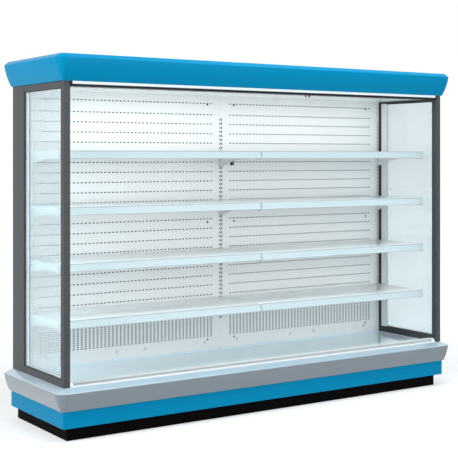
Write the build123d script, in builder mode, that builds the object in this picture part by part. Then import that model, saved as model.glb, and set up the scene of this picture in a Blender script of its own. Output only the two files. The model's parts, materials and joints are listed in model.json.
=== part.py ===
from build123d import *

import math
import os

# An open multideck display fridge. An insulated tub, rear wall and roof stand
# between two glazed end frames. Four levels of shelves hook into slotted uprights
# in front of a perforated back panel, and a rounded canopy and a rounded bumper
# run round the front and both ends. Fans under the deck blow air over the coil,
# up the duct behind the back panel and down through the outlet in the ceiling.
# A night blind rolls up behind the canopy.
#
# Sizes are in millimetres. X runs along the fridge, the shopper stands on the -Y
# side and +Z is up. The origin is the middle of the footprint, on the floor.

# ---- the whole fridge ----
bay_length = 1250.0  # one bay, from the centre upright to the end frame
end_thickness = 36.0  # glazed end frame
frame_depth = 646.0  # end frame, from its front face to the back of the fridge
overhang = 50.0  # canopy and bumper stand out this far from the frames
foot_height = 35.0
base_tube = 40.0  # square tube of the base frame
tub_height = 198.0
frame_height = 1533.0
canopy_height = 136.0

# ---- sheet, board and foam thicknesses ----
sheet = 1.5
upright_sheet = 2.0
foam_floor = 35.0
foam_front = 30.0
foam_back = 50.0
foam_roof = 50.0
touch_gap = 0.3  # between neighbours on different bodies

# ---- base ----
foot_row_count = 3
foot_pad_radius = 22.0  # hexagonal, across its corners
foot_pad_height = 8.0
foot_stem_radius = 7.0  # hexagonal, across its corners
frame_inset = 46.0  # base frame, in from the faces of the end frames
cross_tube_count = 5
plinth_inset = 30.0
plinth_floor_gap = 1.0
skirt_standoff = 8.0
skirt_below_tub = 5.0
skirt_return = 22.0
drain_x = 300.0
drain_radius = 20.0
drain_neck_radius = 19.0  # across the corners of the neck in the floor panel
drain_neck_sides = 8
drain_bore_radius = 15.0
drain_flange = 64.0
drain_reach = 30.0  # spigot below the tub
fit_clearance = 0.2

# ---- bumper ----
bumper_drop = 115.0  # below the foot of the end frames
bumper_ridge_drop = 19.0
bumper_foot_out = 20.0
bumper_bulge = 3.0
bumper_wall = 3.0
bumper_ridge_radius = 6.0

# ---- end frames and their glass ----
front_post_depth = 38.0
rear_post_depth = 156.0
bottom_rail_height = 38.0
top_rail_height = 34.0
post_radius = 5.0
glass_thickness = 24.0
glass_bite = 8.0  # the pane reaches this far into the frame
gasket_wall = 3.0
gasket_base = 2.0
gasket_show = 4.0

# ---- canopy ----
canopy_wall = 3.0
canopy_foot_out = 8.0
canopy_foot_in = 14.0
canopy_tip_drop = 20.0
canopy_mid_out = 34.0
canopy_mid_rise = 54.0
canopy_top_out = 25.0
canopy_top_in = 60.0
canopy_edge = 4.0

# ---- roof, ceiling and air outlet ----
roof_setback = 80.0
roof_front_lip = 30.0
roof_duct = 34.0
ceiling_drop = 20.0  # ceiling below the top of the end frames
ceiling_front = 24.0
outlet_front = 112.0
outlet_width = 60.0
outlet_height = 15.0
outlet_end_margin = 15.0
outlet_cell_count = 8
outlet_row_count = 2
outlet_web = 4.0

# ---- lamp ----
lamp_front = -2.0
lamp_depth = 16.0
lamp_height = 15.0
lamp_radius = 5.0
lamp_holder = 10.0

# ---- back panel, uprights and their slots ----
duct_depth = 56.0  # air duct behind the back panel's face
upright_width = 30.0
upright_proud = 1.0
upright_foot = 22.0  # foot of the upright above the deck
slot_width = 5.0
slot_height = 20.0
slot_offset = 6.0  # slot columns, either side of the centre line
shelf_slot_count = 4
slot_head = 100.0  # no slots this close to the ceiling
row_margin = 43.0  # from the upright to the first dash of a row
dash_row_count = 21
dash_pitch_z = 56.45
dash_height = 4.0
dash_count = 2
dash_share = 0.6
first_dash_gap = 66.5
dash_top = 63.0  # top row below the end frames' top
grille_row_count = 3
grille_pitch_z = 36.0
grille_slot_height = 8.0
grille_bottom = 82.0  # lowest grille row above the deck

# ---- shelves ----
shelf_count = 4
shelf_first = 320.0  # top of the lowest shelf above the deck
shelf_pitch = 290.0
shelf_front = 124.0  # from the front of the frames to the shelf
shelf_lip = 30.0
shelf_end_gap = 2.0
shelf_rear_gap = 3.0
bracket_sheet = 2.0
bracket_front_drop = 50.0
bracket_arch_drop = 43.0
bracket_rear_drop = 95.0
bracket_arch_depth = 190.0
hook_drop = 15.0  # first hook below the top of the shelf
hook_height = 12.0
hook_nose = 6.0
hook_reach = 5.0
rail_height = 42.0
rail_lean = 8.0
rail_thickness = 4.0
rail_wall = 1.5

# ---- deck and return air grille ----
deck_drop = 5.0  # deck below the foot of the end frames
deck_front = 62.0
deck_flange = 12.0
deck_side_gap = 1.0
grille_flat = 10.0
grille_top_front = 24.0
grille_top_back = 56.0
grille_top_rise = 20.0
grille_seat = 18.0
slit_count = 24
slit_share = 0.5
slit_margin = 3.0
clip_inner_places = (115.0, 520.0)  # from the middle of the fridge
clip_outer_places = (545.0, 133.0)  # from the end frame
clip_width = 10.0
clip_height = 16.0
clip_reach = 8.0
clip_rise = 45.0  # clips above the deck
sensor_x = 70.0
sensor_rise = 1106.0
sensor_size = (20.0, 12.0, 26.0)
sensor_radius = 3.0

# ---- fans and coil ----
fan_count = 3
fan_plate_depth = 210.0
fan_plate_sheet = 2.0
fan_hole_margin = 6.25  # under and over the hole in the fan plate
blade_tip_gap = 5.0
blade_count = 5
blade_thickness = 2.4
blade_root_chord = 28.0
blade_tip_chord = 46.0
blade_angle = 28.0
blade_corner = 10.0
hub_radius = 20.0
hub_length = 22.0
shaft_radius = 4.0
running_clearance = 0.05
motor_radius = 28.0
motor_sides = 8
motor_length = 44.0
motor_setback = 20.0  # motor behind the fan plate
motor_gap = 10.0  # motor behind the hub
arm_width = 8.0
arm_thickness = 4.0
arm_count = 3
coil_front = 290.0
coil_height = 118.0
coil_lift = 10.0
coil_end_gap = 70.0
fin_count = 10
coil_fin = 4.0
coil_core = 70.0  # height of the tube pack between the fins
bend_tube = 12.0
bend_reach = 30.0
bend_count = 2

# ---- night blind ----
roll_depth = 40.0  # roll axis behind the front of the frames
roll_rise = 44.0  # roll axis above the top of the end frames
roll_radius = 22.0
roll_end_gap = 10.0
pin_radius = 5.0
pin_end_play = 5.0
bracket_plate = 3.0
bracket_foot = 16.0
bracket_margin = 18.0
cloth_thickness = 1.0
cloth_side_gap = 20.0
bar_front = -4.0
bar_depth = 26.0
bar_height = 11.0
bar_side_gap = 3.0
bar_radius = 3.0
pull_x = 241.0
pull_spread = 24.0
pull_drop = 15.0
pull_wall = 5.0

# ---- places worked out from the sizes ----
half_inner = bay_length
half_length = half_inner + end_thickness
face_y = (overhang - frame_depth) / 2
rear_y = face_y + frame_depth
tub_bottom = foot_height + base_tube
tub_floor = tub_bottom + foam_floor
frame_bottom = tub_bottom + tub_height
frame_top = frame_bottom + frame_height
deck_top = frame_bottom - deck_drop
duct_back = frame_depth - foam_back
wall_depth = duct_back - duct_depth
coil_half_length = half_inner - coil_end_gap
fan_pitch = 2 * half_inner / fan_count
fan_places = [(i - (fan_count - 1) / 2) * fan_pitch for i in range(fan_count)]
ceiling_z = frame_top - ceiling_drop
bumper_bottom = frame_bottom - bumper_drop
fan_z = (tub_floor + deck_top - sheet) / 2
fan_hole_radius = fan_z - tub_floor - fan_hole_margin
blade_radius = fan_hole_radius - blade_tip_gap
upright_face = wall_depth - upright_proud
slot_pitch = shelf_pitch / shelf_slot_count
sides = {"left": -1, "right": 1}
corner_out = (Align.MIN, Align.MIN, Align.MIN)
middle_base = (Align.CENTER, Align.CENTER, Align.MIN)


def behind(depth):
    """The Y of something this far behind the front face of the end frames."""
    return face_y + depth


def block(low, high, mode=Mode.ADD):
    """A plain box from its lowest to its highest corner."""
    size = [high[i] - low[i] for i in range(3)]
    with Locations(low):
        Box(*size, align=corner_out, mode=mode)


def write(piece, name):
    """Labels a finished sub-part and saves it under its own name."""
    piece.part.label = name
    export_step(piece.part, f"parts/{name}.step")


def run_round(section):
    """Carries a section along the front, round both corners and back down the ends.

    The section is drawn outward from the frames' faces, with height as its Y.
    """
    runs = (
        ((half_length, face_y, 0), (0, -1, 0), (-1, 0, 0), 2 * half_length),
        ((half_length, rear_y, 0), (1, 0, 0), (0, -1, 0), frame_depth),
        ((-half_length, face_y, 0), (-1, 0, 0), (0, 1, 0), frame_depth),
    )
    for origin, outward, along, length in runs:
        plane = Plane(origin=origin, x_dir=outward, z_dir=along)
        extrude(plane * section, amount=length, dir=along)
    with BuildSketch() as outer_part:
        add(section)
        with Locations((0, frame_height / 2)):
            Rectangle(
                frame_depth, 3 * frame_height,
                align=(Align.MAX, Align.CENTER), mode=Mode.SUBTRACT,
            )
    for side in (-1, 1):
        corner = (side * half_length, face_y, 0)
        plane = Plane(origin=corner, x_dir=(0, -1, 0), z_dir=(-1, 0, 0))
        revolve(
            plane * outer_part.sketch, axis=Axis(corner, (0, 0, side)),
            revolution_arc=90,
        )


os.makedirs("parts", exist_ok=True)

# ======== base ========

foot_x = half_length - frame_inset - base_tube
front_tube = frame_inset + base_tube / 2
rear_tube = frame_depth - front_tube
tube_mid = (behind(front_tube) + behind(rear_tube)) / 2

with BuildPart() as levelling_feet:
    for radius, bottom, top in (
        (foot_pad_radius, 0, foot_pad_height),
        (foot_stem_radius, foot_pad_height, foot_height),
    ):
        with BuildSketch(Plane.XY.offset(bottom)):
            with Locations((0, tube_mid)):
                with GridLocations(
                    2 * foot_x / (foot_row_count - 1), rear_tube - front_tube, foot_row_count, 2
                ):
                    RegularPolygon(radius, 6)
        extrude(amount=top - bottom)
write(levelling_feet, "levelling_feet")

with BuildPart() as base_frame:
    with Locations((0, tube_mid, foot_height)):
        with GridLocations(0, rear_tube - front_tube, 1, 2):
            Box(
                2 * (half_length - frame_inset), base_tube, base_tube,
                align=middle_base,
            )
        with GridLocations(
            2 * (half_length - frame_inset - base_tube / 2) / (cross_tube_count - 1),
            0, cross_tube_count, 1,
        ):
            Box(base_tube, rear_tube - front_tube, base_tube, align=middle_base)
write(base_frame, "base_frame")

plinth_x = half_length - plinth_inset
with BuildPart() as plinth:
    block(
        (-plinth_x, behind(plinth_inset), plinth_floor_gap),
        (plinth_x, rear_y, tub_bottom),
    )
    block(
        (sheet - plinth_x, behind(plinth_inset) + sheet, 0),
        (plinth_x - sheet, rear_y, tub_bottom),
        mode=Mode.SUBTRACT,
    )
write(plinth, "plinth")

skirt_bottom = tub_bottom - skirt_below_tub

# Folded sheet: a top flange on the tub, the face, and a flange turned under.
with BuildSketch() as skirt_section:
    with BuildLine():
        Polyline(
            (0, bumper_bottom), (skirt_standoff, bumper_bottom),
            (skirt_standoff, skirt_bottom), (-skirt_return, skirt_bottom),
            (-skirt_return, skirt_bottom + sheet),
            (skirt_standoff - sheet, skirt_bottom + sheet),
            (skirt_standoff - sheet, bumper_bottom - sheet),
            (0, bumper_bottom - sheet),
            close=True,
        )
    make_face()

with BuildPart() as skirt:
    run_round(skirt_section.sketch)
write(skirt, "skirt")

# Hollow rail: a sloping top, a rounded ridge and a face that tucks in below.
ridge = (overhang, frame_bottom - bumper_ridge_drop)
bumper_foot = (bumper_foot_out, bumper_bottom)
bumper_belly = (
    (ridge[0] + bumper_foot[0]) / 2 + bumper_bulge,
    (ridge[1] + bumper_foot[1]) / 2 - bumper_bulge,
)
with BuildSketch() as bumper_section:
    with BuildLine():
        Polyline(
            ridge, (0, frame_bottom), (0, bumper_bottom), bumper_foot
        )
        ThreePointArc(bumper_foot, bumper_belly, ridge)
    make_face()
    fillet(bumper_section.vertices().sort_by(Axis.X)[-1], bumper_ridge_radius)
    with BuildLine():
        Polyline(
            ridge, (0, frame_bottom), (0, bumper_bottom), bumper_foot,
            close=True,
        )
        offset(amount=-bumper_wall, kind=Kind.INTERSECTION)
    make_face(mode=Mode.SUBTRACT)

with BuildPart() as bumper_rail:
    run_round(bumper_section.sketch)
write(bumper_rail, "bumper_rail")

with BuildPart() as base_tub:
    block((-half_length, face_y, tub_bottom), (half_length, rear_y, frame_bottom))
    block(
        (-half_inner, behind(foam_front), tub_bottom),
        (half_inner, behind(duct_back), frame_bottom),
        mode=Mode.SUBTRACT,
    )
write(base_tub, "base_tub")

with BuildPart() as tub_floor_panel:
    block(
        (-half_inner, behind(foam_front), tub_bottom),
        (half_inner, behind(duct_back), tub_floor),
    )
    with BuildSketch(Plane.XY.offset(tub_bottom)):
        with Locations((drain_x, behind(coil_front))):
            RegularPolygon(drain_neck_radius + fit_clearance, drain_neck_sides)
    extrude(amount=foam_floor, mode=Mode.SUBTRACT)
write(tub_floor_panel, "tub_floor_panel")

with BuildPart() as drain_outlet:
    with Locations((drain_x, behind(coil_front), tub_bottom - drain_reach)):
        Cylinder(drain_radius, drain_reach, align=middle_base)
    with BuildSketch(Plane.XY.offset(tub_bottom)):
        with Locations((drain_x, behind(coil_front))):
            RegularPolygon(drain_neck_radius, drain_neck_sides)
    extrude(amount=foam_floor)
    with Locations((drain_x, behind(coil_front), tub_floor)):
        Box(drain_flange, drain_flange, sheet, align=middle_base)
    with Locations((drain_x, behind(coil_front), tub_bottom - drain_reach)):
        Cylinder(
            drain_bore_radius, drain_reach + foam_floor + sheet,
            align=middle_base, mode=Mode.SUBTRACT,
        )
write(drain_outlet, "drain_outlet")

# ======== insulated shell ========

with BuildPart() as rear_wall:
    block(
        (-half_inner, behind(duct_back), frame_bottom), (half_inner, rear_y, frame_top)
    )
write(rear_wall, "rear_wall")

with BuildPart() as roof_panel:
    block(
        (canopy_foot_in - half_length, behind(roof_setback), frame_top),
        (half_length - canopy_foot_in, rear_y, frame_top + roof_duct + foam_roof),
    )
    block(
        (-half_inner, behind(roof_setback + roof_front_lip), frame_top),
        (half_inner, behind(duct_back), frame_top + roof_duct),
        mode=Mode.SUBTRACT,
    )
write(roof_panel, "roof_panel")

outlet_half = half_inner - outlet_end_margin
outlet_y = (behind(outlet_front), behind(outlet_front + outlet_width))

with BuildPart() as ceiling_panel:
    block(
        (-half_inner, behind(ceiling_front), ceiling_z),
        (half_inner, behind(wall_depth), ceiling_z + sheet),
    )
    block(
        (-half_inner, behind(ceiling_front), ceiling_z),
        (half_inner, behind(ceiling_front) + sheet, frame_top),
    )
    block(
        (-outlet_half, outlet_y[0], ceiling_z),
        (outlet_half, outlet_y[1], ceiling_z + sheet),
        mode=Mode.SUBTRACT,
    )
write(ceiling_panel, "ceiling_panel")

cell_pitch = (2 * outlet_half - outlet_web) / outlet_cell_count
cell_row_pitch = (outlet_width - outlet_web) / outlet_row_count
with BuildPart() as air_outlet_honeycomb:
    block(
        (-outlet_half, outlet_y[0], ceiling_z),
        (outlet_half, outlet_y[1], ceiling_z + outlet_height),
    )
    with Locations((0, sum(outlet_y) / 2, ceiling_z)):
        with GridLocations(cell_pitch, cell_row_pitch, outlet_cell_count, outlet_row_count):
            Box(
                cell_pitch - outlet_web, cell_row_pitch - outlet_web, outlet_height,
                align=middle_base, mode=Mode.SUBTRACT,
            )
write(air_outlet_honeycomb, "air_outlet_honeycomb")

# ======== canopy and lamp ========

# Folded sheet: a lip on the frames, a swelling face, a tip and a top flange.
canopy_top = frame_top + canopy_height
tip = (overhang, canopy_top - canopy_tip_drop)
canopy_foot = (canopy_foot_out, frame_top)
lip_end = (-canopy_foot_in, frame_top + canopy_wall)
inner_tip = (overhang - canopy_wall, tip[1] - canopy_wall / 2)
inner_foot = (canopy_foot_out - canopy_wall, lip_end[1])
with BuildSketch() as canopy_section:
    with BuildLine():
        Polyline(lip_end, (-canopy_foot_in, frame_top), canopy_foot)
        ThreePointArc(
            canopy_foot, (canopy_mid_out, frame_top + canopy_mid_rise), tip
        )
        Polyline(
            tip, (canopy_top_out, canopy_top), (-canopy_top_in, canopy_top),
            (-canopy_top_in, canopy_top - canopy_wall),
            (canopy_top_out - canopy_wall / 2, canopy_top - canopy_wall), inner_tip,
        )
        Polyline(
            inner_tip, (canopy_mid_out - canopy_wall, frame_top + canopy_mid_rise),
            inner_foot, lip_end,
        )
    make_face()
    chamfer(canopy_section.vertices().sort_by(Axis.X)[-1], canopy_edge)

with BuildPart() as canopy_fascia:
    run_round(canopy_section.sketch)
write(canopy_fascia, "canopy_fascia")

lamp_half = half_inner - lamp_holder
lamp_z = (frame_top - lamp_height, frame_top)
with BuildPart() as lamp_tube:
    block(
        (-lamp_half, behind(lamp_front), lamp_z[0]),
        (lamp_half, behind(lamp_front + lamp_depth), lamp_z[1]),
    )
    fillet(
        lamp_tube.edges().filter_by(Axis.X).group_by(Axis.Z)[0],
        lamp_radius,
    )
write(lamp_tube, "lamp_tube")

with BuildPart() as lamp_holders:
    for side in sides.values():
        ends = sorted((side * lamp_half, side * half_inner))
        block(
            (ends[0], behind(lamp_front), lamp_z[0]),
            (ends[1], behind(lamp_front + lamp_depth), lamp_z[1]),
        )
write(lamp_holders, "lamp_holders")

# ======== end frames ========

glass_x = half_inner + end_thickness / 2
groove = glass_bite + gasket_base
opening_y = (front_post_depth, frame_depth - rear_post_depth)
opening_z = (frame_bottom + bottom_rail_height, frame_top - top_rail_height)


def glazing_space(x, grow, width, mode):
    """The upright box of the glazed opening, grown over the frame by grow."""
    block(
        (x - width / 2, behind(opening_y[0] - grow), opening_z[0] - grow),
        (x + width / 2, behind(opening_y[1] + grow), opening_z[1] + grow),
        mode=mode,
    )


gasket_width = glass_thickness + 2 * gasket_wall

for name, side in sides.items():
    inner, outer = sorted((side * half_inner, side * half_length))
    centre = side * glass_x

    with BuildPart() as front_post:
        block(
            (inner, face_y, frame_bottom), (outer, behind(front_post_depth), frame_top)
        )
        fillet(
            front_post.edges().filter_by(Axis.Z).group_by(Axis.Y)[0], post_radius
        )
        glazing_space(centre, groove, gasket_width, Mode.SUBTRACT)
    write(front_post, f"{name}_front_post")

    with BuildPart() as rear_post:
        block((inner, behind(opening_y[1]), frame_bottom), (outer, rear_y, frame_top))
        glazing_space(centre, groove, gasket_width, Mode.SUBTRACT)
    write(rear_post, f"{name}_rear_post")

    with BuildPart() as rails:
        block(
            (inner, behind(opening_y[0]), frame_bottom),
            (outer, behind(opening_y[1]), opening_z[0]),
        )
        block(
            (inner, behind(opening_y[0]), opening_z[1]),
            (outer, behind(opening_y[1]), frame_top),
        )
        glazing_space(centre, groove, gasket_width, Mode.SUBTRACT)
    write(rails, f"{name}_rails")

    with BuildPart() as end_glass:
        glazing_space(centre, glass_bite, glass_thickness, Mode.ADD)
    write(end_glass, f"{name}_end_glass")

with BuildPart() as glass_gaskets:
    for side in sides.values():
        glazing_space(side * glass_x, groove, gasket_width, Mode.ADD)
    for side in sides.values():
        glazing_space(side * glass_x, glass_bite, glass_thickness, Mode.SUBTRACT)
        glazing_space(side * glass_x, -gasket_show, gasket_width, Mode.SUBTRACT)
write(glass_gaskets, "glass_gaskets")

# ======== uprights and back panels ========

shelf_tops = [deck_top + shelf_first + i * shelf_pitch for i in range(shelf_count)]
first_slot = shelf_tops[0] - hook_drop - slot_pitch
slot_count = 1 + int((ceiling_z - slot_head - first_slot) / slot_pitch)
slots_mid = first_slot + (slot_count - 1) * slot_pitch / 2
end_upright_x = half_inner - upright_width / 2

for name, x, columns in (
    ("left", -end_upright_x, 1), ("centre", 0.0, 2), ("right", end_upright_x, 1)
):
    with BuildPart() as upright:
        block(
            (x - upright_width / 2, behind(upright_face), deck_top + upright_foot),
            (x + upright_width / 2, behind(duct_back), ceiling_z),
        )
        block(
            (x - upright_width / 2 + upright_sheet,
             behind(upright_face) + upright_sheet, deck_top),
            (x + upright_width / 2 - upright_sheet, behind(duct_back), ceiling_z),
            mode=Mode.SUBTRACT,
        )
        column_x = 0.0 if columns == 2 else math.copysign(slot_offset, x)
        with BuildSketch(Plane.XZ.offset(-behind(upright_face + upright_sheet))):
            with Locations((x + column_x, slots_mid)):
                with GridLocations(2 * slot_offset, slot_pitch, columns, slot_count):
                    Rectangle(slot_width, slot_height)
        extrude(amount=upright_sheet, mode=Mode.SUBTRACT)
    write(upright, f"{name}_upright")

panel_inner = upright_width / 2
panel_outer = half_inner - upright_width
row_length = panel_outer - panel_inner - 2 * row_margin
dash_pitch = row_length / dash_count
dash_length = dash_pitch * dash_share
top_row = frame_top - dash_top
rows_mid = top_row - first_dash_gap - (dash_row_count - 1) * dash_pitch_z / 2
grille_mid = deck_top + grille_bottom + (grille_row_count - 1) * grille_pitch_z / 2

for name, side in sides.items():
    ends = sorted((side * panel_inner, side * panel_outer))
    with BuildPart() as back_panel:
        block(
            (ends[0], behind(wall_depth), deck_top - deck_drop),
            (ends[1], behind(wall_depth) + sheet, ceiling_z + sheet),
        )
        with BuildSketch(Plane.XZ.offset(-behind(wall_depth) - sheet)):
            middle = sum(ends) / 2
            with Locations((middle, top_row)):
                with GridLocations(dash_pitch, 0, dash_count, 1):
                    Rectangle(dash_length, dash_height)
            with Locations((middle, rows_mid)):
                with GridLocations(dash_pitch, dash_pitch_z, dash_count, dash_row_count):
                    Rectangle(dash_length, dash_height)
            with Locations((middle, grille_mid)):
                with GridLocations(
                    dash_pitch, grille_pitch_z, dash_count, grille_row_count
                ):
                    Rectangle(dash_length, grille_slot_height)
        extrude(amount=sheet, mode=Mode.SUBTRACT)
    write(back_panel, f"{name}_back_panel")

with BuildPart() as temperature_sensor:
    block(
        (sensor_x, behind(wall_depth) - sensor_size[1], deck_top + sensor_rise),
        (sensor_x + sensor_size[0], behind(wall_depth),
         deck_top + sensor_rise + sensor_size[2]),
    )
    fillet(
        temperature_sensor.edges().filter_by(Axis.Z).group_by(Axis.Y)[0],
        sensor_radius,
    )
write(temperature_sensor, "temperature_sensor")

clip_places = [*clip_inner_places, *(half_inner - gap for gap in clip_outer_places)]
with BuildPart() as deck_clips:
    for side in sides.values():
        for place in clip_places:
            low = (side * place - clip_width / 2, behind(wall_depth) - clip_reach,
                   deck_top + clip_rise)
            high = (side * place + clip_width / 2, behind(wall_depth),
                    deck_top + clip_rise + clip_height)
            block(low, high)
            block(
                (low[0], low[1] + sheet, low[2]),
                (high[0], high[1] - sheet, high[2] - sheet),
                mode=Mode.SUBTRACT,
            )
write(deck_clips, "deck_clips")

# ======== shelves ========

shelf_back = upright_face - shelf_rear_gap
bracket_places = (slot_offset, end_upright_x + slot_offset)
web_back = upright_face + upright_sheet

# Arched gusset with two hooks that drop behind the web of the upright, drawn from
# the front face of the frames and from the underside of the shelf.
with BuildSketch() as bracket_outline:
    with BuildLine():
        Polyline(
            (shelf_front + sheet, -bracket_front_drop), (shelf_front + sheet, 0),
            (upright_face, 0), (upright_face, -bracket_rear_drop),
        )
        ThreePointArc(
            (upright_face, -bracket_rear_drop),
            (shelf_front + bracket_arch_depth, -bracket_arch_drop),
            (shelf_front + sheet, -bracket_front_drop),
        )
    make_face()
    for drop in (hook_drop, hook_drop + slot_pitch):
        hook_top = sheet - drop + hook_height / 2
        hook_foot = hook_top - hook_height
        with BuildLine():
            Polyline(
                (upright_face, hook_top), (web_back + hook_reach, hook_top),
                (web_back + hook_reach, hook_foot - hook_nose),
                (web_back + touch_gap, hook_foot - hook_nose),
                (web_back + touch_gap, hook_foot), (upright_face, hook_foot),
                close=True,
            )
        make_face()

# Hollow price rail: a back on the shelf's lip and a face that leans outward, drawn
# from the shelf's front and from its top.
with BuildSketch() as rail_outline:
    with BuildLine():
        Polyline(
            (0, 0), (-rail_thickness, 0),
            (-rail_thickness - rail_lean, -rail_height), (0, -rail_height),
            close=True,
        )
    make_face()
    with BuildLine():
        Polyline(
            (-rail_wall, -rail_wall), (rail_wall - rail_thickness, -rail_wall),
            (2 * rail_wall - rail_thickness - rail_lean, rail_wall - rail_height),
            (-rail_wall, rail_wall - rail_height),
            close=True,
        )
    make_face(mode=Mode.SUBTRACT)

for level, shelf_top in enumerate(shelf_tops, start=1):
    for name, side in sides.items():
        ends = sorted((side * shelf_end_gap, side * (half_inner - shelf_end_gap)))
        with BuildPart() as shelf:
            block(
                (ends[0], behind(shelf_front), shelf_top - shelf_lip),
                (ends[1], behind(shelf_back), shelf_top),
            )
            block(
                (ends[0] + sheet, behind(shelf_front) + sheet, shelf_top - shelf_lip),
                (ends[1] - sheet, behind(shelf_back), shelf_top - sheet),
                mode=Mode.SUBTRACT,
            )
        write(shelf, f"{name}_shelf_{level}")

    with BuildPart() as brackets:
        for side in sides.values():
            for place in bracket_places:
                start = side * place - bracket_sheet / 2
                with BuildSketch(Plane.YZ.offset(start)):
                    with Locations((face_y, shelf_top - sheet)):
                        add(bracket_outline.sketch)
                extrude(amount=bracket_sheet)
    write(brackets, f"shelf_brackets_{level}")

    with BuildPart() as price_rails:
        for side in sides.values():
            ends = sorted((side * shelf_end_gap, side * (half_inner - shelf_end_gap)))
            with BuildSketch(Plane.YZ.offset(ends[0])):
                with Locations((behind(shelf_front), shelf_top)):
                    add(rail_outline.sketch)
            extrude(amount=ends[1] - ends[0])
    write(price_rails, f"price_rails_{level}")

# ======== deck ========

for name, side in sides.items():
    ends = sorted((side * deck_side_gap, side * (half_inner - deck_side_gap)))
    with BuildPart() as deck_pan:
        block(
            (ends[0], behind(deck_front), deck_top - sheet),
            (ends[1], behind(wall_depth), deck_top),
        )
        block(
            (ends[0], behind(wall_depth) - sheet, deck_top - sheet),
            (ends[1], behind(wall_depth), deck_top + deck_flange),
        )
    write(deck_pan, f"{name}_deck_pan")

# Folded sheet: a flange on the tub, a slitted slope, a flat top and a seat for the
# deck pans, drawn from the front face of the frames.
grille_top = frame_bottom + grille_top_rise
slope_foot = (grille_flat, frame_bottom + sheet)
slope_head = (grille_top_front, grille_top)
slope_length = math.dist(slope_foot, slope_head)
slope_angle = math.atan2(slope_head[1] - slope_foot[1], slope_head[0] - slope_foot[0])
slope_middle = (
    0, behind((slope_foot[0] + slope_head[0]) / 2), (slope_foot[1] + slope_head[1]) / 2
)
slope_normal = (0, -math.sin(slope_angle), math.cos(slope_angle))
slit_pitch = 2 * (half_inner - row_margin) / slit_count
grille_half = half_inner - deck_side_gap
with BuildSketch() as grille_section:
    with BuildLine():
        Polyline(
            (deck_side_gap, slope_foot[1]), slope_foot, slope_head,
            (grille_top_back, grille_top), (deck_front - deck_side_gap, deck_top - sheet),
            (deck_front + grille_seat, deck_top - sheet),
        )
        offset(amount=sheet, side=Side.RIGHT)
    make_face()

with BuildPart() as return_air_grille:
    with BuildSketch(Plane.YZ.offset(-grille_half)):
        with Locations((face_y, 0)):
            add(grille_section.sketch)
    extrude(amount=2 * grille_half)
    with BuildSketch(Plane(origin=slope_middle, x_dir=(1, 0, 0), z_dir=slope_normal)):
        with GridLocations(slit_pitch, 0, slit_count, 1):
            Rectangle(slit_pitch * slit_share, slope_length - 2 * slit_margin)
    extrude(amount=2 * sheet, both=True, mode=Mode.SUBTRACT)
write(return_air_grille, "return_air_grille")

# ======== fans and coil ========

plate_back = fan_plate_depth + fan_plate_sheet
with BuildPart() as fan_plate:
    block(
        (-half_inner, behind(fan_plate_depth), tub_floor),
        (half_inner, behind(plate_back), deck_top - sheet),
    )
    with BuildSketch(Plane.XZ.offset(-behind(plate_back))):
        for x in fan_places:
            with Locations((x, fan_z)):
                Circle(fan_hole_radius)
    extrude(amount=fan_plate_sheet, mode=Mode.SUBTRACT)
write(fan_plate, "fan_plate")

motor_front = plate_back + motor_setback
hub_back = motor_front - motor_gap
hub_front = hub_back - hub_length
arm_reach = fan_hole_radius + 2 * arm_width
with BuildPart() as fan_motors:
    for x in fan_places:
        with BuildSketch(Plane.XZ.offset(-behind(motor_front))):
            with Locations((x, fan_z)):
                RegularPolygon(motor_radius, motor_sides, rotation=180 / motor_sides)
        extrude(amount=-motor_length)
        with BuildSketch(Plane.XZ.offset(-behind(motor_front))):
            with Locations((x, fan_z)):
                Circle(shaft_radius)
        extrude(amount=motor_front - hub_front + sheet)
        with BuildSketch(Plane.XZ.offset(-behind(motor_front))):
            with Locations((x, fan_z)):
                with PolarLocations(arm_reach / 2, arm_count, start_angle=0):
                    Rectangle(arm_reach, arm_width)
        extrude(amount=-arm_thickness)
        with BuildSketch(Plane.XZ.offset(-behind(motor_front))):
            with Locations((x, fan_z)):
                with PolarLocations(
                    arm_reach - arm_width / 2, arm_count, start_angle=0
                ):
                    Rectangle(arm_width, arm_width)
        extrude(amount=motor_setback)
write(fan_motors, "fan_motors")

hub_mid = (hub_front + hub_back) / 2
hub_turn = 90 / blade_count
pitch = math.radians(blade_angle)
tip_reach = math.sqrt(blade_radius**2 - (blade_tip_chord * math.cos(pitch) / 2) ** 2)
for number, x in enumerate(fan_places, start=1):
    with BuildPart() as fan_blades:
        with BuildSketch(Plane.XZ.offset(-behind(hub_back))):
            with Locations((x, fan_z)):
                RegularPolygon(hub_radius, 2 * blade_count, rotation=hub_turn)
        extrude(amount=hub_length)
        for blade in range(blade_count):
            turn = 2 * math.pi * blade / blade_count
            outward = Vector(math.cos(turn), 0, math.sin(turn))
            round_hub = Vector(-math.sin(turn), 0, math.cos(turn))
            facing = Vector(0, math.cos(pitch), 0) - round_hub * math.sin(pitch)
            centre = Vector(x, behind(hub_mid), fan_z)
            with BuildSketch(Plane(origin=centre, x_dir=outward, z_dir=facing)) as leaf:
                with BuildLine():
                    Polyline(
                        (hub_radius - blade_thickness, -blade_root_chord / 2),
                        (tip_reach, -blade_tip_chord / 2),
                        (tip_reach, blade_tip_chord / 2),
                        (hub_radius - blade_thickness, blade_root_chord / 2),
                        close=True,
                    )
                make_face()
                chamfer(leaf.vertices().sort_by(Axis.X)[-2:], blade_corner)
            extrude(amount=blade_thickness / 2, both=True)
        with BuildSketch(Plane.XZ.offset(-behind(hub_back))):
            with Locations((x, fan_z)):
                Circle(shaft_radius + running_clearance)
        extrude(amount=hub_length, mode=Mode.SUBTRACT)
    write(fan_blades, f"fan_blades_{number}")

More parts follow.
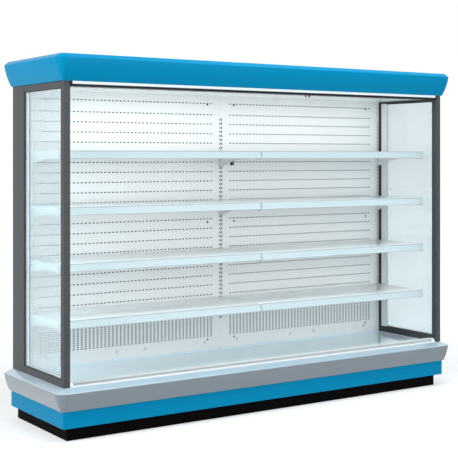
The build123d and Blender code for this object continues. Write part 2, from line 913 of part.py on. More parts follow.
coil_y = (behind(coil_front), behind(wall_depth))
coil_depth = wall_depth - coil_front
coil_mid_z = tub_floor + coil_lift + coil_height / 2
with BuildPart() as evaporator_coil:
    with Locations((0, sum(coil_y) / 2, tub_floor + coil_lift)):
        with GridLocations(
            (2 * coil_half_length - coil_fin) / (fin_count - 1), 0, fin_count, 1
        ):
            Box(coil_fin, coil_depth, coil_height, align=middle_base)
    with Locations((0, sum(coil_y) / 2, coil_mid_z)):
        Box(2 * coil_half_length, coil_depth - 2 * coil_fin, coil_core)
    for side in (-1, 1):
        ends = sorted((side * coil_half_length, side * (coil_half_length - coil_fin)))
        block(
            (ends[0], coil_y[0], tub_floor),
            (ends[1], coil_y[1], tub_floor + coil_lift + coil_height),
        )
        for bend in range(bend_count):
            bend_y = coil_y[0] + coil_depth * (bend + 0.5) / bend_count
            for reach, mode in (
                (bend_reach, Mode.ADD), (bend_reach - bend_tube, Mode.SUBTRACT)
            ):
                near, far = sorted((side * coil_half_length,
                                    side * (coil_half_length + reach)))
                block(
                    (near, bend_y - reach, coil_mid_z - bend_tube / 2),
                    (far, bend_y + reach, coil_mid_z + bend_tube / 2),
                    mode=mode,
                )
write(evaporator_coil, "evaporator_coil")

# ======== night blind ========

roll_z = frame_top + roll_rise
roll_half = half_inner - roll_end_gap
plate_x = half_inner + pin_end_play

with BuildPart() as blind_brackets:
    for side in sides.values():
        near, far = sorted((side * plate_x, side * (plate_x + bracket_plate)))
        low, high = sorted((side * plate_x, side * (plate_x + bracket_foot)))
        block(
            (near, behind(roll_depth - bracket_margin), frame_top),
            (far, behind(roll_depth + bracket_margin), roll_z + bracket_margin),
        )
        block(
            (low, behind(roll_depth - bracket_margin), frame_top),
            (high, behind(roll_depth + bracket_margin), frame_top + bracket_plate),
        )
        with BuildSketch(Plane.YZ.offset(near)):
            with Locations((behind(roll_depth), roll_z)):
                Circle(pin_radius + running_clearance)
        extrude(amount=bracket_plate, mode=Mode.SUBTRACT)
write(blind_brackets, "blind_brackets")

with BuildPart() as blind_roller:
    with BuildSketch(Plane.YZ.offset(-roll_half)):
        with Locations((behind(roll_depth), roll_z)):
            Circle(roll_radius)
    extrude(amount=2 * roll_half)
    pin_half = plate_x + bracket_plate + pin_end_play
    with BuildSketch(Plane.YZ.offset(-pin_half)):
        with Locations((behind(roll_depth), roll_z)):
            Circle(pin_radius)
    extrude(amount=2 * pin_half)
write(blind_roller, "blind_roller")

bar_top = lamp_z[0] - touch_gap
bar_half = half_inner - bar_side_gap
with BuildPart() as blind_bar:
    block(
        (-bar_half, behind(bar_front), bar_top - bar_height),
        (bar_half, behind(bar_front + bar_depth), bar_top),
    )
    fillet(
        blind_bar.edges().filter_by(Axis.X).group_by(Axis.Z)[0],
        bar_radius,
    )
    for step in (-1, 1):
        pull = pull_x + step * pull_spread / 2
        pull_foot = bar_top - bar_height - pull_drop
        block(
            (pull - pull_wall / 2, behind(bar_front + bar_radius), pull_foot),
            (pull + pull_wall / 2, behind(bar_front + bar_radius) + pull_wall,
             bar_top - bar_height / 2),
        )
        block(
            (pull - pull_wall / 2, behind(bar_front + bar_radius), pull_foot),
            (pull + pull_wall / 2, behind(bar_front + bar_radius) + 2 * pull_wall,
             pull_foot + pull_wall / 2),
        )
write(blind_bar, "blind_bar")

cloth_back = roll_depth - roll_radius - touch_gap
with BuildPart() as blind_curtain:
    block(
        (cloth_side_gap - bar_half, behind(cloth_back - cloth_thickness), bar_top),
        (bar_half - cloth_side_gap, behind(cloth_back), roll_z),
    )
write(blind_curtain, "blind_curtain")
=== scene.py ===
"""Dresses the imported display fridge: sheet metal, glass, shelves, blind and stage."""

import json
import math

import bmesh
import bpy
from bpy.props import FloatProperty, FloatVectorProperty, IntProperty, PointerProperty
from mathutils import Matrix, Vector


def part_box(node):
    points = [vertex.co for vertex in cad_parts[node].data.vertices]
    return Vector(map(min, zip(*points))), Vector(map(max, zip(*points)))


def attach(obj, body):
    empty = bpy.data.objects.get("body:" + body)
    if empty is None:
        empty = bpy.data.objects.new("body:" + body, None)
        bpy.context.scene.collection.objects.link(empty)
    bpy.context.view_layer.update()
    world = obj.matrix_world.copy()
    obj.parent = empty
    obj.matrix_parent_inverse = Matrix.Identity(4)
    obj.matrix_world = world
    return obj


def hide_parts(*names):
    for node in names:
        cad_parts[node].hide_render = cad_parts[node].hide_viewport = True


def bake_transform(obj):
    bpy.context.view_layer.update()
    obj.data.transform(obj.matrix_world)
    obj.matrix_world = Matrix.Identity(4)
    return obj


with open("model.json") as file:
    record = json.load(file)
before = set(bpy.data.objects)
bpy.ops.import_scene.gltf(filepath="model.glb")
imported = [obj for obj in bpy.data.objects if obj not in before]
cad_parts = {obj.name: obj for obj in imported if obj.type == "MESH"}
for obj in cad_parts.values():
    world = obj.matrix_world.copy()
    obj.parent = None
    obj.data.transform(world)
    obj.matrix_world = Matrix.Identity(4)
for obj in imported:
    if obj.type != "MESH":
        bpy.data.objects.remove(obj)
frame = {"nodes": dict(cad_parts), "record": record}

bl_info = {
    "name": "Open multideck display fridge",
    "version": (1, 0, 0),
    "blender": (4, 5, 0),
    "location": "3D view > Sidebar > Fridge",
    "description": "Dresses the packed display fridge and sets its stage",
    "category": "Object",
}

# The body that carries what doesn't move, the ends with their sides, and the shelves.
CABINET = "cabinet"
SIDES = {"left": -1, "right": 1}
LEVELS = (1, 2, 3, 4)

# Sizes that several pieces share, in metres: the sheet of the shelves, deck pans, skirt
# and comb, the distance of a slot column from the middle of its upright, and the drops
# of a bracket's two hooks below the top of its shelf.
SHEET = 0.0015
SLOT_COLUMN = 0.006
HOOK_DROPS = (0.027, 0.0753)

# Edges that turn by more degrees than these are shaded sharp.
EDGE_SHARP, BODY_SHARP = 30, 24

# Where a sheet's thickness goes: against the way that its faces look, or to both sides.
INWARD, BOTH_WAYS = -1.0, 0.0

# The shader's sockets by short names.
SOCKETS = {
    "metallic": "Metallic", "specular": "Specular IOR Level", "coat": "Coat Weight",
    "coat_roughness": "Coat Roughness", "glow_colour": "Emission Color",
    "glow": "Emission Strength", "transmission": "Transmission Weight", "ior": "IOR",
    "alpha": "Alpha",
}


# ======== settings ========


class FridgeColours(bpy.types.PropertyGroup):
    """Colours of the fridge, as linear values."""

    blue: FloatVectorProperty(
        name="Canopy and skirt", description="Stove enamel of the canopy and skirt",
        subtype="COLOR", default=(0.0, 0.235, 0.44), min=0, max=1,
    )
    white: FloatVectorProperty(
        name="Sheet metal", description="Powder coat of the shelves and panels",
        subtype="COLOR", default=(0.88, 0.91, 0.915), min=0, max=1,
    )
    deck: FloatVectorProperty(
        name="Deck", description="Gloss enamel of the deck pans",
        subtype="COLOR", default=(0.78, 0.91, 0.97), min=0, max=1,
    )
    bumper: FloatVectorProperty(
        name="Bumper", description="Plastic of the bumper rail",
        subtype="COLOR", default=(0.16, 0.19, 0.22), min=0, max=1,
    )
    # Painted light: the bumper's upward faces take this paler colour in place of the light
    # from above that falls on them.
    bumper_top_painted_light: FloatVectorProperty(
        name="Bumper top", description="Paler upper face of the bumper rail",
        subtype="COLOR", default=(0.4, 0.51, 0.58), min=0, max=1,
    )
    rail: FloatVectorProperty(
        name="Price rails", description="Tinted plastic of the price rails",
        subtype="COLOR", default=(0.57, 0.67, 0.69), min=0, max=1,
    )
    frames: FloatVectorProperty(
        name="End frames", description="Anodised posts and rails",
        subtype="COLOR", default=(0.046, 0.05, 0.055), min=0, max=1,
    )
    cloth: FloatVectorProperty(
        name="Blind", description="Woven cloth of the night blind",
        subtype="COLOR", default=(0.55, 0.58, 0.6), min=0, max=1,
    )


class FridgePanels(bpy.types.PropertyGroup):
    """Holes of the back panels, uprights, grille and air outlet."""

    dash_pitch: FloatProperty(
        name="Dash pitch", description="From one dash of a row to the next",
        default=0.0244, min=0.01, max=0.1, unit="LENGTH",
    )
    dash_length: FloatProperty(
        name="Dash length", description="Length of one dash",
        default=0.012, min=0.002, max=0.09, unit="LENGTH",
    )
    dash_height: FloatProperty(
        name="Dash height", description="Height of one dash",
        default=0.0062, min=0.001, max=0.01, unit="LENGTH",
    )
    grille_height: FloatProperty(
        name="Grille dash height", description="Height of a dash of the lower grille",
        default=0.0056, min=0.001, max=0.011, unit="LENGTH",
    )
    row_margin: FloatProperty(
        name="Row margin", description="From the upright to the first dash",
        default=0.036, min=0.01, max=0.2, unit="LENGTH",
    )
    slot_pitch: FloatProperty(
        name="Slot pitch", description="From one slot of an upright to the next",
        default=0.0241667, min=0.02, max=0.05, unit="LENGTH",
    )
    slot_height: FloatProperty(
        name="Slot height", description="Height of one slot of an upright",
        default=0.014, min=0.005, max=0.019, unit="LENGTH",
    )
    slot_width: FloatProperty(
        name="Slot width", description="Width of one slot of an upright",
        default=0.0074, min=0.003, max=0.01, unit="LENGTH",
    )
    slit_pitch: FloatProperty(
        name="Slit pitch", description="From one slit of the return grille to the next",
        default=0.0104, min=0.006, max=0.05, unit="LENGTH",
    )
    slit_width: FloatProperty(
        name="Slit width", description="Width of one slit of the return grille",
        default=0.0062, min=0.001, max=0.02, unit="LENGTH",
    )
    cell_size: FloatProperty(
        name="Outlet cell", description="Across one cell of the air outlet",
        default=0.011, min=0.006, max=0.05, unit="LENGTH",
    )


class FridgeShelves(bpy.types.PropertyGroup):
    """Shelves, their brackets and price rails."""

    fold_radius: FloatProperty(
        name="Fold radius", description="Outer radius of the shelves' folds",
        default=0.003, min=0.0, max=0.01, unit="LENGTH",
    )
    joint_width: FloatProperty(
        name="Joint clip", description="Width of the clip that joins two price rails",
        default=0.016, min=0.005, max=0.06, unit="LENGTH",
    )
    arch_steps: IntProperty(
        name="Arch steps", description="Straight pieces in a bracket's arch",
        default=20, min=4, max=80,
    )


class FridgeBlind(bpy.types.PropertyGroup):
    """The night blind on its roll."""

    rows: IntProperty(
        name="Cloth rows", description="Rows of the cloth's mesh from bar to roll",
        default=24, min=6, max=80,
    )
    hem: FloatProperty(
        name="Cloth layer", description="Thickness of one layer of cloth on the roll",
        default=0.0008, min=0.0002, max=0.002, unit="LENGTH",
    )


class FridgeStage(bpy.types.PropertyGroup):
    """Light, floor and camera."""

    key: FloatProperty(
        name="Key light", description="Power of the large soft light in front",
        default=150.0, min=0, max=5000, unit="POWER",
    )
    top: FloatProperty(
        name="Top light", description="Power of the soft light overhead",
        default=120.0, min=0, max=5000, unit="POWER",
    )
    side: FloatProperty(
        name="Side light", description="Power of the soft light on the left",
        default=180.0, min=0, max=5000, unit="POWER",
    )
    inner: FloatProperty(
        name="Inner light", description="Power of the light under the canopy",
        default=1.4, min=0, max=500, unit="POWER",
    )
    ambient: FloatProperty(
        name="Ambient", description="Strength of the surrounding light",
        default=0.5, min=0, max=5,
    )
    floor: FloatProperty(
        name="Floor", description="Glow of the floor near the fridge",
        default=0.46, min=0, max=2,
    )
    lens: FloatProperty(
        name="Lens", description="Focal length in millimetres",
        default=88.2, min=10, max=400,
    )


GROUPS = {
    "fridge_colours": FridgeColours,
    "fridge_panels": FridgePanels,
    "fridge_shelves": FridgeShelves,
    "fridge_blind": FridgeBlind,
    "fridge_stage": FridgeStage,
}


def settings(group):
    """One of the scene's groups of settings."""
    return getattr(bpy.context.scene, group)


# ======== finishes ========


def surface(name, colour, roughness, **values):
    """A new material. Further values go to the shader's sockets by their short names."""
    material = bpy.data.materials.new(f"fridge_{name}")
    material.use_nodes = True
    sockets = material.node_tree.nodes["Principled BSDF"].inputs
    sockets["Base Color"].default_value = (*colour, 1)
    sockets["Roughness"].default_value = roughness
    for short, value in values.items():
        sockets[SOCKETS[short]].default_value = value
    return material


def grain(material, scale, strength, stretch=(1, 1, 1)):
    """Adds a fine relief, finer along the axes with a larger stretch."""
    nodes, links = material.node_tree.nodes, material.node_tree.links
    place = nodes.new("ShaderNodeTexCoord")
    mapping = nodes.new("ShaderNodeMapping")
    mapping.inputs["Scale"].default_value = stretch
    noise = nodes.new("ShaderNodeTexNoise")
    noise.inputs["Scale"].default_value = scale
    noise.inputs["Detail"].default_value = 3
    bump = nodes.new("ShaderNodeBump")
    bump.inputs["Strength"].default_value = strength
    bump.inputs["Distance"].default_value = 0.001
    links.new(place.outputs["Object"], mapping.inputs["Vector"])
    links.new(mapping.outputs["Vector"], noise.inputs["Vector"])
    links.new(noise.outputs["Fac"], bump.inputs["Height"])
    links.new(bump.outputs["Normal"], nodes["Principled BSDF"].inputs["Normal"])
    return material


def blue_paint():
    """Gloss enamel with a faint orange peel."""
    material = surface("blue_paint", settings("fridge_colours").blue, 0.28, specular=0.05)
    return grain(material, 120, 0.03)


def white_paint():
    """Semi-gloss powder coat."""
    colour = settings("fridge_colours").white
    material = surface("white_paint", colour, 0.25, coat=0.3, coat_roughness=0.12)
    return grain(material, 260, 0.05)


def deck_white():
    """Gloss enamel that mirrors the uprights."""
    colour = settings("fridge_colours").deck
    return surface("deck_white", colour, 0.1, coat=0.5, coat_roughness=0.05)


def frame_paint():
    """Satin black paint of the base frame."""
    return grain(surface("frame_paint", (0.02, 0.02, 0.022), 0.5), 200, 0.08)


def plinth_black():
    """Satin black sheet of the kick plate."""
    return surface("plinth_black", (0.001, 0.001, 0.0015), 0.6, specular=0.03)


def bumper_grey():
    """Extruded plastic with a glossy skin, painted paler where it faces up as painted light
    from above.
    """
    colours = settings("fridge_colours")
    material = surface("bumper_grey", colours.bumper, 0.3, coat=1.0, coat_roughness=0.1)
    nodes, links = material.node_tree.nodes, material.node_tree.links
    # Painted light: the more a face looks up, the more it takes the paler top colour in place
    # of light from above.
    form = nodes.new("ShaderNodeNewGeometry")
    parts = nodes.new("ShaderNodeSeparateXYZ")
    share = nodes.new("ShaderNodeMapRange")
    share.inputs["From Min"].default_value = 0.25
    share.inputs["From Max"].default_value = 0.75
    mix = nodes.new("ShaderNodeMix")
    mix.data_type = "RGBA"
    mix.inputs["A"].default_value = (*colours.bumper, 1)
    mix.inputs["B"].default_value = (*colours.bumper_top_painted_light, 1)
    links.new(form.outputs["Normal"], parts.inputs[0])
    links.new(parts.outputs["Z"], share.inputs["Value"])
    links.new(share.outputs["Result"], mix.inputs["Factor"])
    links.new(mix.outputs["Result"], nodes["Principled BSDF"].inputs["Base Color"])
    return grain(material, 300, 0.03)


def foam_shell():
    """Pale coated skin of the insulated panels."""
    return grain(surface("foam_shell", (0.62, 0.65, 0.67), 0.42), 180, 0.06)


def grey_plastic():
    """Matte grey plastic of the air outlet."""
    return surface("grey_plastic", (0.42, 0.45, 0.48), 0.55)


def black_plastic():
    """Satin black plastic."""
    return surface("black_plastic", (0.003, 0.003, 0.004), 0.42, specular=0.15)


def clear_rail():
    """Pale tinted plastic, glossy in front."""
    return surface("clear_rail", settings("fridge_colours").rail, 0.35, specular=0.3)


def lamp_diffuser():
    """Opal tube that glows white."""
    return surface("lamp_diffuser", (0.8, 0.87, 0.89), 0.4,
                   glow_colour=(0.87, 0.97, 1.0, 1), glow=0.16)


def anodised_frame():
    """Drawn aluminium, anodised dark grey."""
    colour = settings("fridge_colours").frames
    material = surface("anodised_frame", colour, 0.48, specular=0.3)
    return grain(material, 900, 0.06, stretch=(1, 1, 0.04))


def fan_aluminium():
    """Pressed fan blades."""
    return surface("fan_aluminium", (0.55, 0.56, 0.58), 0.35, metallic=0.9)


def coil_aluminium():
    """Bare fins of the coil."""
    return surface("coil_aluminium", (0.6, 0.61, 0.63), 0.4, metallic=0.8)


def zinc():
    """Zinc-plated steel."""
    return grain(surface("zinc", (0.66, 0.68, 0.69), 0.4, metallic=0.5), 160, 0.08)


def gasket_rubber():
    """Black rubber."""
    return surface("gasket_rubber", (0.008, 0.008, 0.009), 0.7)


def end_glass():
    """Clear float glass with a slight green cast."""
    return surface("end_glass", (0.66, 0.88, 0.95), 0.0, transmission=1.0, ior=1.45,
                   alpha=0.3)


def blind_cloth():
    """Woven cloth of the blind."""
    return grain(surface("blind_cloth", settings("fridge_colours").cloth, 0.75), 1400, 0.25)


FINISHES = {
    f.__name__: f
    for f in (
        blue_paint, white_paint, deck_white, frame_paint, plinth_black, bumper_grey,
        foam_shell, grey_plastic, black_plastic, clear_rail, lamp_diffuser,
        anodised_frame, fan_aluminium, coil_aluminium, zinc, gasket_rubber, end_glass,
        blind_cloth,
    )
}


def finish(slot_name):
    """The material of a slot, made once."""
    return bpy.data.materials.get(f"fridge_{slot_name}") or FINISHES[slot_name]()


# ======== mesh helpers ========


def add_object(name, data):
    """A new object of the scene."""
    obj = bpy.data.objects.new(name, data)
    bpy.context.scene.collection.objects.link(obj)
    return obj


def from_bmesh(name, bm):
    """A mesh from a bmesh, with its faces turned outward."""
    bmesh.ops.recalc_face_normals(bm, faces=bm.faces)
    mesh = bpy.data.meshes.new(name)
    bm.to_mesh(mesh)
    bm.free()
    return mesh


def smooth(mesh, sharp):
    """Shades a mesh smooth, apart from edges that turn by more than an angle."""
    mesh.shade_smooth()
    mesh.set_sharp_from_angle(angle=math.radians(sharp))


def piece(name, bm, slot_name, body=CABINET, nodes=(), bevel=0.0, sharp=EDGE_SHARP):
    """Puts a bmesh in the scene, riding on a body and standing for CAD nodes."""
    mesh = from_bmesh(name, bm)
    smooth(mesh, sharp)
    mesh.materials.append(finish(slot_name))
    obj = add_object(name, mesh)
    if bevel:
        soften(obj, bevel)
    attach(obj, body)
    if nodes:
        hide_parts(*nodes)
    return obj


def soften(obj, width):
    """Rounds an object's edges."""
    rounding = obj.modifiers.new("edges", "BEVEL")
    rounding.width = width
    rounding.segments = 2
    rounding.limit_method = "ANGLE"
    rounding.angle_limit = math.radians(35)
    rounding.harden_normals = True


def soften_solids(width, *nodes):
    """Rounds the edges of CAD solids that the scene keeps."""
    for node in nodes:
        soften(frame["nodes"][node], width)


def thicken(obj, amount, offset):
    """Gives a sheet its thickness, on the side that offset says."""
    solid = obj.modifiers.new("sheet", "SOLIDIFY")
    solid.thickness = amount
    solid.offset = offset
    solid.use_even_offset = True
    graph = bpy.context.evaluated_depsgraph_get()
    mesh = bpy.data.meshes.new_from_object(obj.evaluated_get(graph))
    smooth(mesh, EDGE_SHARP)
    obj.modifiers.clear()
    obj.data = mesh


def side_offset(obj, axis, sign):
    """The offset that thickens a sheet to one side, whichever way it faces."""
    return sign if obj.data.polygons[0].normal[axis] > 0 else -sign


def spot(axis, along, a, b):
    """A point from its place along an axis and its places on the two others."""
    return {"x": (along, a, b), "y": (a, along, b), "z": (a, b, along)}[axis]


def add_band(bm, near, far):
    """Faces between two closed rings of corners."""
    for i in range(len(near)):
        j = (i + 1) % len(near)
        bm.faces.new((near[i], near[j], far[j], far[i]))


def add_grid(bm, rows, holed=()):
    """Faces between open rows of corners. Every second row lacks the holed ones."""
    for j, (near, far) in enumerate(zip(rows, rows[1:])):
        for i in range(len(near) - 1):
            if not (i in holed and j % 2):
                bm.faces.new((near[i], near[i + 1], far[i + 1], far[i]))


def add_box(bm, low, high):
    """A plain box between two corners."""
    corners = [
        bm.verts.new((x, y, z))
        for x in (low[0], high[0]) for y in (low[1], high[1]) for z in (low[2], high[2])
    ]
    for a, b, c, d in (
        (0, 1, 3, 2), (4, 6, 7, 5), (0, 4, 5, 1), (2, 3, 7, 6), (0, 2, 6, 4), (1, 5, 7, 3)
    ):
        bm.faces.new((corners[a], corners[b], corners[c], corners[d]))


def boxes(*places):
    """Several boxes, each from a pair of corners."""
    bm = bmesh.new()
    for low, high in places:
        add_box(bm, low, high)
    return bm


def add_prism(bm, outline, axis, start, end):
    """A closed outline carried along an axis. The outline lies in the other two."""
    near = [bm.verts.new(spot(axis, start, a, b)) for a, b in outline]
    far = [bm.verts.new(spot(axis, end, a, b)) for a, b in outline]
    bm.faces.new(near)
    bm.faces.new(far)
    add_band(bm, near, far)


def prism(outline, axis, start, end):
    """One closed outline carried along an axis."""
    bm = bmesh.new()
    add_prism(bm, outline, axis, start, end)
    return bm


def add_tube(bm, centre, radius, axis, length, bore=0.0, sides=32):
    """A round bar, or a tube where it has a bore, that starts at its centre."""
    main = "xyz".index(axis)
    across, up = (i for i in range(3) if i != main)
    turns = [2 * math.pi * i / sides for i in range(sides)]
    rings = [
        [bm.verts.new(spot(axis, centre[main] + along, centre[across] + r * math.cos(turn),
                           centre[up] + r * math.sin(turn))) for turn in turns]
        for r in ((radius, bore) if bore else (radius,)) for along in (0, length)
    ]
    pairs = ((0, 1), (3, 2), (1, 3), (2, 0)) if bore else ((0, 1),)
    if not bore:
        bm.faces.new(rings[0])
        bm.faces.new(rings[1])
    for a, b in pairs:
        add_band(bm, rings[a], rings[b])


def arc(a, b, c, steps):
    """Points of the arc from a to c through b, without a itself."""
    ax, ay, bx, by, cx, cy = *a, *b, *c
    d = 2 * (ax * (by - cy) + bx * (cy - ay) + cx * (ay - by))
    sa, sb, sc = ax * ax + ay * ay, bx * bx + by * by, cx * cx + cy * cy
    ux = (sa * (by - cy) + sb * (cy - ay) + sc * (ay - by)) / d
    uy = (sa * (cx - bx) + sb * (ax - cx) + sc * (bx - ax)) / d
    start, mid, end = (math.atan2(y - uy, x - ux) for x, y in (a, b, c))
    turn = (end - start) % (2 * math.pi)
    if (mid - start) % (2 * math.pi) > turn:
        turn -= 2 * math.pi
    r = math.hypot(ax - ux, ay - uy)
    return [
        (ux + r * math.cos(start + turn * i / steps),
         uy + r * math.sin(start + turn * i / steps))
        for i in range(1, steps + 1)
    ]


def rounded(points, radii, steps=5):
    """An outline with the corners rounded that have a radius."""
    result = []
    for i, (x, y) in enumerate(points):
        if i not in radii:
            result.append((x, y))
            continue
        ends = []
        for other in (points[i - 1], points[(i + 1) % len(points)]):
            share = min(radii[i] / math.dist((x, y), other), 0.5)
            ends.append((x + (other[0] - x) * share, y + (other[1] - y) * share))
        for k in range(steps + 1):
            t = k / steps
            result.append(tuple(
                (1 - t) ** 2 * ends[0][m] + 2 * t * (1 - t) * (x, y)[m] + t * t * ends[1][m]
                for m in (0, 1)
            ))
    return result


def spans(low, high, middle, pitch, size):
    """Cuts along a line, in pairs, centred on the middle of the line."""
    count = int((high - low - size) / pitch) + 1
    first = middle - (count - 1) * pitch / 2
    return [(first + i * pitch - size / 2, first + i * pitch + size / 2)
            for i in range(count)]


def pierced(profile, holed, axis, low, high, cuts):
    """A folded sheet with holes.

    The profile's points lie in the two other axes. Its stretches named in holed are
    cut away between each pair of cuts along the axis.
    """
    stations = [low, *(edge for cut in cuts for edge in cut), high]
    bm = bmesh.new()
    rows = [[bm.verts.new(spot(axis, along, a, b)) for a, b in profile] for along in stations]
    add_grid(bm, rows, holed)
    return bm


def corner_rows(section, half, front, side):
    """A section turned round a front corner, from the side to the front."""
    steps = 14
    rows = []
    for i in range(steps + 1):
        turn = math.pi / 2 * i / steps
        rows.append([
            (side * (half + out * math.cos(turn)), front - out * math.sin(turn), z)
            if out > 0 else (side * (half + out), front - out, z)
            for out, z in section
        ])
    return rows


def loft(rows):
    """A closed skin through rows of points, shut at both ends."""
    bm = bmesh.new()
    rings = [[bm.verts.new(p) for p in row] for row in rows]
    for near, far in zip(rings, rings[1:]):
        add_band(bm, near, far)
    bm.faces.new(rings[0])
    bm.faces.new(rings[-1])
    bmesh.ops.remove_doubles(bm, verts=bm.verts, dist=1e-6)
    return bm


# ======== body work ========


def front_face():
    """The front face of the end frames."""
    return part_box("right_front_post")[0].y


def frames_corner():
    """Half the length over the end frames, their front face and the rear face."""
    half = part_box("right_front_post")[1].x
    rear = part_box("right_rear_post")[1].y
    return half, front_face(), rear


def run_round(name, section, slot_name, node):
    """Body work in one piece that runs round the front and down both ends."""
    half, front, rear = frames_corner()
    rows = [[(half + out, rear, z) for out, z in section]]
    rows += corner_rows(section, half, front, 1)
    rows += reversed(corner_rows(section, half, front, -1))
    rows.append([(-half - out, rear, z) for out, z in section])
    piece(name, loft(rows), slot_name, nodes=(node,), sharp=BODY_SHARP)


def make_canopy():
    """The rounded canopy, as folded sheet that runs round both corners.

    Its section runs from the lip behind the lamp over the toe, the belly, the brow and
    the crown to the rear edge, each measured outward from the end frames.
    """
    low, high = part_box("canopy_fascia")
    foot, top = low.z, high.z
    wall = 0.003
    lip, toe, crown, rear_edge = -0.014, 0.008, 0.025, -0.060
    belly = (0.034, foot + 0.054)
    brow = (front_face() - low.y, top - 0.020)
    outer = [(lip, foot), (toe, foot), *arc((toe, foot), belly, brow, 18)]
    outer += [(crown, top), (rear_edge, top)]
    radii = {1: 0.003, len(outer) - 3: 0.0055, len(outer) - 2: 0.004}
    inner_brow = (brow[0] - wall, brow[1] - wall / 2)
    inner = [(rear_edge, top - wall), (crown - wall / 2, top - wall), inner_brow]
    inner += arc(inner_brow, (belly[0] - wall, belly[1]), (toe - wall, foot + wall), 12)
    inner.append((lip, foot + wall))
    section = rounded(outer, radii) + inner
    run_round("canopy", section, "blue_paint", "canopy_fascia")


def make_bumper():
    """The bumper: three straight extrusions and two corner caps with fine seams."""
    low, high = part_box("bumper_rail")
    half, front, rear = frames_corner()
    toe_out, brow_drop, swell, seam = 0.020, 0.019, 0.003, 0.0008
    toe, brow = (toe_out, low.z), (front - low.y, high.z - brow_drop)
    belly = ((toe[0] + brow[0]) / 2 + swell, (toe[1] + brow[1]) / 2 - swell)
    outline = [(0.0, high.z), (0.0, low.z), toe, *arc(toe, belly, brow, 14)]
    section = rounded(outline, {2: 0.002, len(outline) - 1: 0.010}, steps=8)
    run = prism([(front - out, z) for out, z in section], "x", seam - half, half - seam)
    piece("bumper_front", run, "bumper_grey", nodes=("bumper_rail",), sharp=BODY_SHARP)
    for name, side in SIDES.items():
        across = [(side * (half + out), z) for out, z in section]
        run = prism(across, "y", front + seam, rear)
        piece(f"bumper_{name}", run, "bumper_grey", sharp=BODY_SHARP)
        cap = loft(corner_rows(section, half, front, side))
        piece(f"bumper_cap_{name}", cap, "bumper_grey", sharp=BODY_SHARP)


def make_skirt():
    """The folded skirt under the bumper."""
    low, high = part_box("skirt")
    out = front_face() - low.y
    hem, fold, flange = 0.001, 0.002, -0.022
    section = [
        (0.0, high.z), (out - hem, high.z), (out, high.z - hem), (out, low.z + fold),
        (out - fold, low.z), (flange, low.z), (flange, low.z + SHEET),
        (out - SHEET, low.z + SHEET), (out - SHEET, high.z - SHEET), (0.0, high.z - SHEET),
    ]
    run_round("skirt_sheet", section, "blue_paint", "skirt")


def make_base():
    """Softened kick plate, frame, tub and drain, and the feet in round parts."""
    soften_solids(0.0008, "plinth", "base_frame", "drain_outlet", "base_tub",
                  "tub_floor_panel", "fan_plate")
    low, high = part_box("levelling_feet")
    stem_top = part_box("base_frame")[0].z
    pad_radius, stem_radius, nut_radius = 0.0185, 0.006, 0.0095
    plate, nut_rise = 0.007, 0.016
    inset_x, inset_y = 0.022, 0.019
    half = (high.x - low.x) / 2 - inset_x
    bm = bmesh.new()
    for x in (-half, 0.0, half):
        for y in (low.y + inset_y, high.y - inset_y):
            add_tube(bm, (x, y, low.z), pad_radius, "z", plate)
            add_tube(bm, (x, y, low.z + plate), stem_radius, "z", stem_top - low.z - plate)
            add_tube(bm, (x, y, low.z + nut_rise), nut_radius, "z", plate, sides=6)
    piece("feet", bm, "zinc", nodes=("levelling_feet",), bevel=0.0004)


def make_shell():
    """The roof, and the rear wall in panels with seams between them."""
    low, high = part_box("rear_wall")
    count, seam, seam_depth = 4, 0.0012, 0.0015
    step = (high.x - low.x) / count
    places = [
        ((low.x + i * step + seam, low.y, low.z),
         (low.x + (i + 1) * step - seam, high.y, high.z))
        for i in range(count)
    ]
    places.append((low, (high.x, high.y - seam_depth, high.z)))
    piece("rear_panels", boxes(*places), "foam_shell", nodes=("rear_wall",), bevel=0.0008)
    soften_solids(0.0015, "roof_panel")


def make_post(name, node, side, groove_y, radii):
    """One post with a fine groove down its outer face. Radii are of its four corners."""
    low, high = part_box(node)
    outer, inner = (high.x, low.x) if side > 0 else (low.x, high.x)
    groove = 0.0012
    sunk = outer - side * groove
    outline = [
        (inner, low.y), (outer, low.y), (outer, groove_y), (sunk, groove_y),
        (sunk, groove_y + groove), (outer, groove_y + groove), (outer, high.y),
        (inner, high.y),
    ]
    corners = dict(zip((0, 1, 6, 7), radii))
    form = prism(rounded(outline, corners), "z", low.z, high.z)
    piece(name, form, "anodised_frame", nodes=(node,))


def make_end_frames():
    """Posts, rails and panes of both glazed ends, and the softened gaskets."""
    groove_near, groove_far, lap = 0.0092, 0.0104, 0.008
    for name, side in SIDES.items():
        front, rear = f"{name}_front_post", f"{name}_rear_post"
        make_post(f"{name}_post", front, side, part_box(front)[1].y - groove_far,
                  (0.005, 0.005, 0.001, 0.001))
        make_post(f"{name}_back_post", rear, side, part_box(rear)[0].y + groove_near,
                  (0.001, 0.001, 0.002, 0.001))
        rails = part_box(f"{name}_rails")
        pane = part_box(f"{name}_end_glass")
        bottom = (rails[0], (rails[1].x, rails[1].y, pane[0].z + lap))
        top = ((rails[0].x, rails[0].y, pane[1].z - lap), rails[1])
        piece(f"{name}_cross_rails", boxes(bottom, top), "anodised_frame",
              nodes=(f"{name}_rails",), bevel=0.001)
        make_pane(name, *pane)
    soften_solids(0.0008, "glass_gaskets")


def make_pane(name, low, high):
    """Two panes with a spacer bar between them."""
    glass, edge = 0.004, 0.012
    near, far = low.x + glass, high.x - glass
    panes = boxes((low, (near, high.y, high.z)), ((far, low.y, low.z), high))
    piece(f"{name}_panes", panes, "end_glass", nodes=(f"{name}_end_glass",), bevel=0.0004)
    bars = boxes(
        ((near, low.y, low.z), (far, low.y + edge, high.z)),
        ((near, high.y - edge, low.z), (far, high.y, high.z)),
        ((near, low.y + edge, low.z), (far, high.y - edge, low.z + edge)),
        ((near, low.y + edge, high.z - edge), (far, high.y - edge, high.z)),
    )
    piece(f"{name}_spacer", bars, "white_paint")


# ======== interior ========


